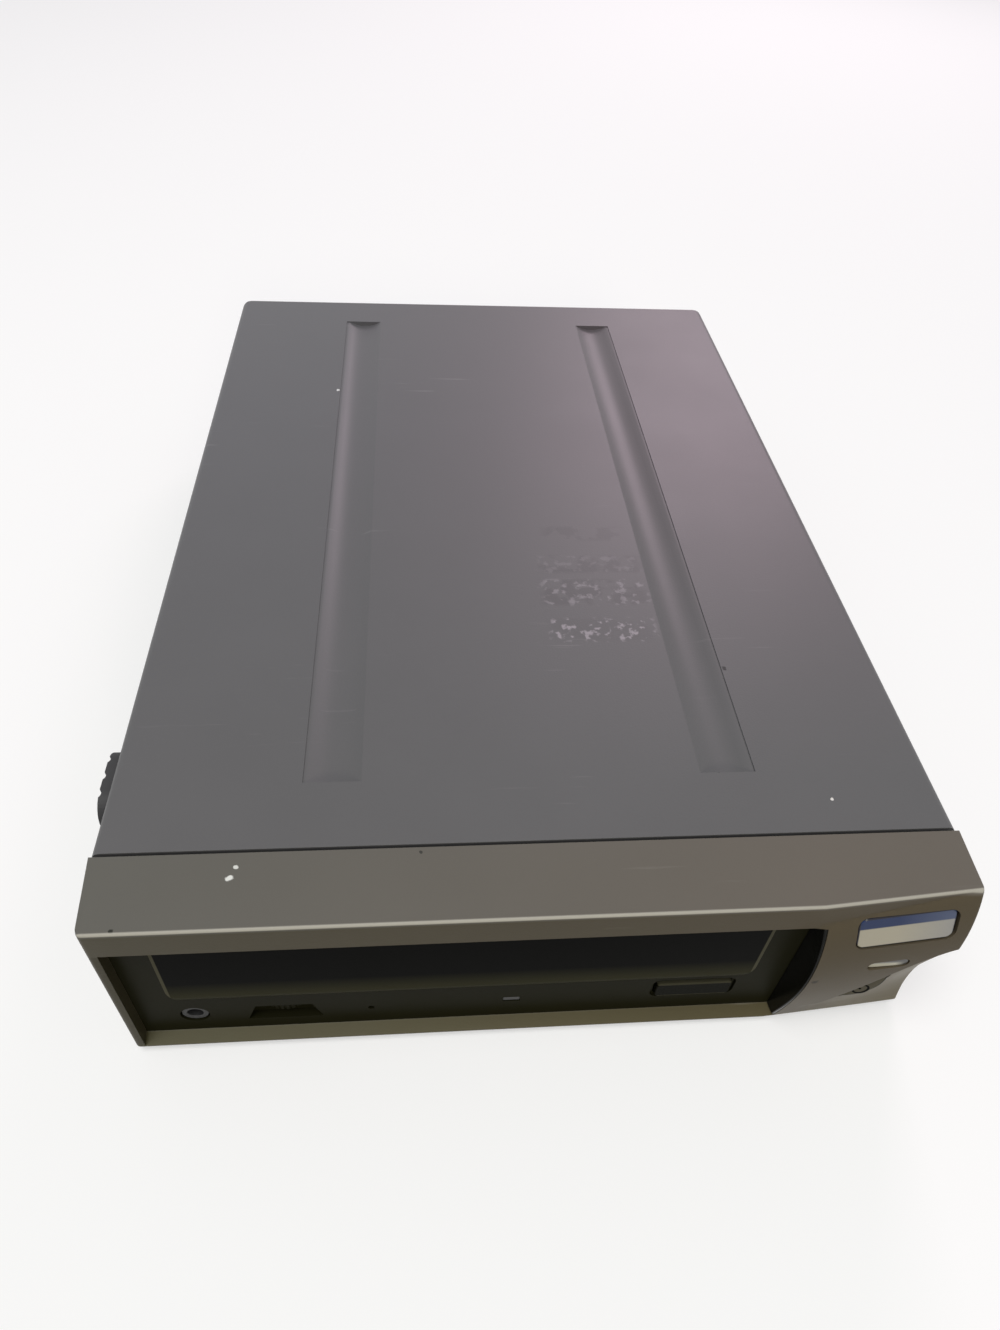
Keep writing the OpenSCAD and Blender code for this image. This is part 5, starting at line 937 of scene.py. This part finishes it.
def coil_tint(tree, tone):
    """Yellow tape on the winding and dark laminated iron on the core, split by distance along Y."""
    (_, y, _), place = axes_of(tree)
    layers = tree.nodes.new("ShaderNodeTexWave")
    layers.inputs["Scale"].default_value = 900
    tree.links.new(place, layers.inputs["Vector"])
    iron = mix_colours(tree, layers.outputs["Fac"], (0.05, 0.05, 0.055, 1), (0.11, 0.11, 0.12, 1))
    off = math_node(tree, "ABSOLUTE", less(tree, y, (153 - 135.3545) / 1000))
    return mix_colours(tree, ramp(tree, off, 0.01101, 0.01099), tone, iron)


painted(softened("psu_transformer", 0.0003), finish_of("coil_tape", (0.55, 0.4, 0.06), 0.35, tint=coil_tint))


def sleeve_tint(tree, tone):
    """Bare aluminium tops on sleeved cans."""
    (_, _, z), _ = axes_of(tree)
    tall = ramp(tree, z, (36.55 + 2.5) / 1000, (36.6 + 2.5) / 1000)
    return mix_colours(tree, tall, tone, (0.5, 0.5, 0.5, 1))


painted(softened("psu_capacitors", 0.0005),
        finish_of("can_sleeve", (0.015, 0.02, 0.07), 0.2, tint=sleeve_tint))
painted(softened("psu_heatsink", 0.0001),
        finish_of("sink_aluminium", (0.6, 0.6, 0.61), 0.35, metal=1.0, mottle=0.15))

# Chips, switches, sockets and the volume potentiometer, all in black plastic and soldered to their
# boards; then the data sockets' plated shells with their tongues.
chip_black = finish_of("chip_black", (0.02, 0.02, 0.021), 0.5, grain_scale=4000, bump=0.00002)
for node in ("bridge_chips", "power_switch", "drive_sockets", "eject_switch", "headphone_jack", "volume_pot"):
    painted(softened(node, 0.00015), chip_black)
shell_steel = finish_of("socket_shell", (0.6, 0.6, 0.6), 0.28, metal=1.0, mottle=0.15)
painted(softened("data_sockets", 0.0001), shell_steel)

# Cables inside the case, plugged at both ends: a flat grey ribbon of many cores, a bundle of four red
# wires and a flat grey lead.


def cores(across):
    """Fine lines along a flat cable, one for each of its cores."""
    def tint(tree, tone):
        axes, _ = axes_of(tree)
        wave = math_node(tree, "SINE", times(tree, axes[across], 2 * math.pi / 0.00127))
        share = times(tree, plus(tree, wave, 0.6), 0.6, clamp=True)
        return mix_colours(tree, share, dyed(tree, tone, (0.6, 0.6, 0.6, 1)), tone)
    return tint


painted(softened("ribbon_cable", 0.0002), finish_of("ribbon_grey", (0.3, 0.3, 0.31), 0.45, tint=cores(0)))
painted(softened("control_lead", 0.0001), finish_of("lead_grey", (0.3, 0.3, 0.31), 0.45, tint=cores(2)))
painted(softened("power_lead", 0.0002), finish_of("lead_red", (0.35, 0.03, 0.02), 0.4))

# Drive: a zinc-plated steel case over a steel pan, with the clamp's bridge and the sled's deck of the
# same sheet.


def rolled(name, tone=(0.52, 0.52, 0.51)):
    """Zinc-plated sheet: long rolling streaks and soft spangle."""
    def tint(tree, base):
        _, place = axes_of(tree)
        streak = tree.nodes.new("ShaderNodeTexNoise")
        longways = tree.nodes.new("ShaderNodeMapping")
        longways.inputs["Scale"].default_value = (900, 12, 900)
        streak.inputs["Scale"].default_value = 1
        wire(tree, (place, longways.inputs["Vector"]), (longways.outputs[0], streak.inputs["Vector"]))
        return mix_colours(tree, times(tree, streak.outputs["Fac"], 0.35), base, (0.3, 0.3, 0.31, 1))
    return finish_of(name, tone, 0.36, grain_scale=700, bump=0.000008, metal=1.0, mottle=0.2, tint=tint)


drive_zinc = rolled("drive_zinc")
for node in ("drive_case", "drive_pan", "clamp_bridge", "sled_plate"):
    painted(softened(node, 0.00012), drive_zinc)

# Drive bezel, tray door, eject button and volume wheel: moulded in black plastic with a soft gloss. The
# bezel is fixed to the drive's case, and the door to the disc tray.
bezel_black = finish_of("bezel_black", (0.013, 0.0125, 0.0055), 0.36, grain_scale=1800, bump=0.000012,
                        mottle=0.25, spread=0.15, scratches=0.15, bare=(0.04, 0.04, 0.035), specular=0.02)
painted(softened("drive_bezel", 0.0003), bezel_black)


def door_painted_light(tree, tone):
    """Painted light: the door's rounded lower band is lighter than its flat, and painted highlights run along
    its left, right and lower edges.
    """
    (x, _, z), _ = axes_of(tree)
    # Painted light on the rounded lower band.
    band = ramp(tree, z, float(top_place(0, 0, 27.5)[2]), float(top_place(0, 0, 22)[2]))
    tone = mix_colours(tree, band, tone, (0.034, 0.033, 0.016, 1))
    # Painted highlights along the left, right and lower edges.
    left = near_to(tree, x, top_place(-80.1, 0)[0], 0.0003, 0.0002)
    right = near_to(tree, x, top_place(49.3, 0)[0], 0.0003, 0.0002)
    under = near_to(tree, z, top_place(0, 0, 18.5)[2], 0.00025, 0.0002)
    rim = math_node(tree, "MAXIMUM", math_node(tree, "MAXIMUM", left, right), under)
    return mix_colours(tree, times(tree, rim, 0.75), tone, (0.12, 0.115, 0.08, 1))


def key_edge_highlight(tree, tone):
    """A painted highlight: a pale line along the eject button's top and lower edges."""
    (_, _, z), _ = axes_of(tree)
    # Painted highlight along the top and lower edges.
    rim = math_node(tree, "MAXIMUM", near_to(tree, z, top_place(0, 0, 14.8)[2], 0.00025, 0.0002),
                    near_to(tree, z, top_place(0, 0, 9.1)[2], 0.0003, 0.0002))
    return mix_colours(tree, times(tree, rim, 0.6), tone, (0.09, 0.085, 0.055, 1))


door_look = dict(grain_scale=1800, bump=0.000006, mottle=0.25, spread=0.12, scratches=0.15,
                 bare=(0.04, 0.04, 0.035), specular=0.01)
painted(softened("tray_door", 0.0005),
        finish_of("door_black", (0.001, 0.001, 0.0006), 0.3, tint=door_painted_light, **door_look))
painted(softened("eject_button", 0.0004),
        finish_of("key_black", (0.006, 0.006, 0.003), 0.25, tint=key_edge_highlight, **door_look))
painted(softened("volume_wheel", 0.0001), bezel_black)

# Disc tray, loading frame, lift frame and turntable: moulded in dark plastic. The tray slides in the
# loading frame and has the rack under its left side.
tray_dark = finish_of("tray_dark", (0.022, 0.022, 0.024), 0.42, grain_scale=1600, bump=0.00003, mottle=0.2)
for node in ("disc_tray", "loading_frame", "lift_frame", "turntable"):
    painted(softened(node, 0.0003), tray_dark)

# Gears, pulleys, slider and clamp puck: moulded in white acetal. A small motor in a steel can turns the
# gears through a rubber belt, and rubber dampers on the lift frame carry the sled's deck.
acetal = finish_of("acetal_white", (0.72, 0.71, 0.66), 0.34, grain_scale=1200, bump=0.00001, mottle=0.05)
for node, width in (("loading_gear", 0.0001), ("pulley_gear", 0.0001), ("motor_pulley", 0.0001),
                    ("lift_slider", 0.0002), ("clamp_puck", 0.0003)):
    painted(softened(node, width), acetal)
belt_black = finish_of("belt_black", (0.012, 0.012, 0.012), 0.6, bump=0.00002)
painted(softened("loading_belt", 0.0), belt_black)
painted(softened("lift_dampers", 0.0002), belt_black)
motor_can = finish_of("motor_can", (0.5, 0.5, 0.52), 0.3, metal=1.0, mottle=0.15)
for node in ("loading_motor", "spindle_motor", "sled_motor"):
    painted(softened(node, 0.0004), motor_can)

# Pickup: a die-cast sled with its lens. It runs on two ground steel rods and is driven by a threaded
# screw.
rod_steel = finish_of("rod_steel", (0.7, 0.7, 0.72), 0.14, metal=1.0, mottle=0.05, bump=0.000002)
painted(softened("guide_rods", 0.0002), rod_steel)


def thread_tint(tree, tone):
    """Dark slanting lines along the screw, one every 1.5 mm."""
    (x, y, _), _ = axes_of(tree)
    axis_x, pitch, slant = 0.0212, 0.0015, 900
    wave = math_node(tree, "SINE", plus(tree, times(tree, y, 2 * math.pi / pitch),
                                        times(tree, less(tree, x, axis_x), slant)))
    return mix_colours(tree, times(tree, wave, 3, clamp=True), tone, (0.12, 0.12, 0.13, 1))


painted(softened("lead_screw", 0.0001),
        finish_of("lead_screw_steel", (0.7, 0.7, 0.72), 0.2, metal=1.0, tint=thread_tint))
painted(softened("optical_sled", 0.0003),
        finish_of("sled_cast", (0.16, 0.16, 0.17), 0.45, metal=0.8, mottle=0.25, bump=0.00003))
lens_coat = finish_of("lens_coat", (0.1, 0.13, 0.3), 0.06, bump=0.000001, coat=1.0)
painted(softened("objective_lens", 0.0002), lens_coat)
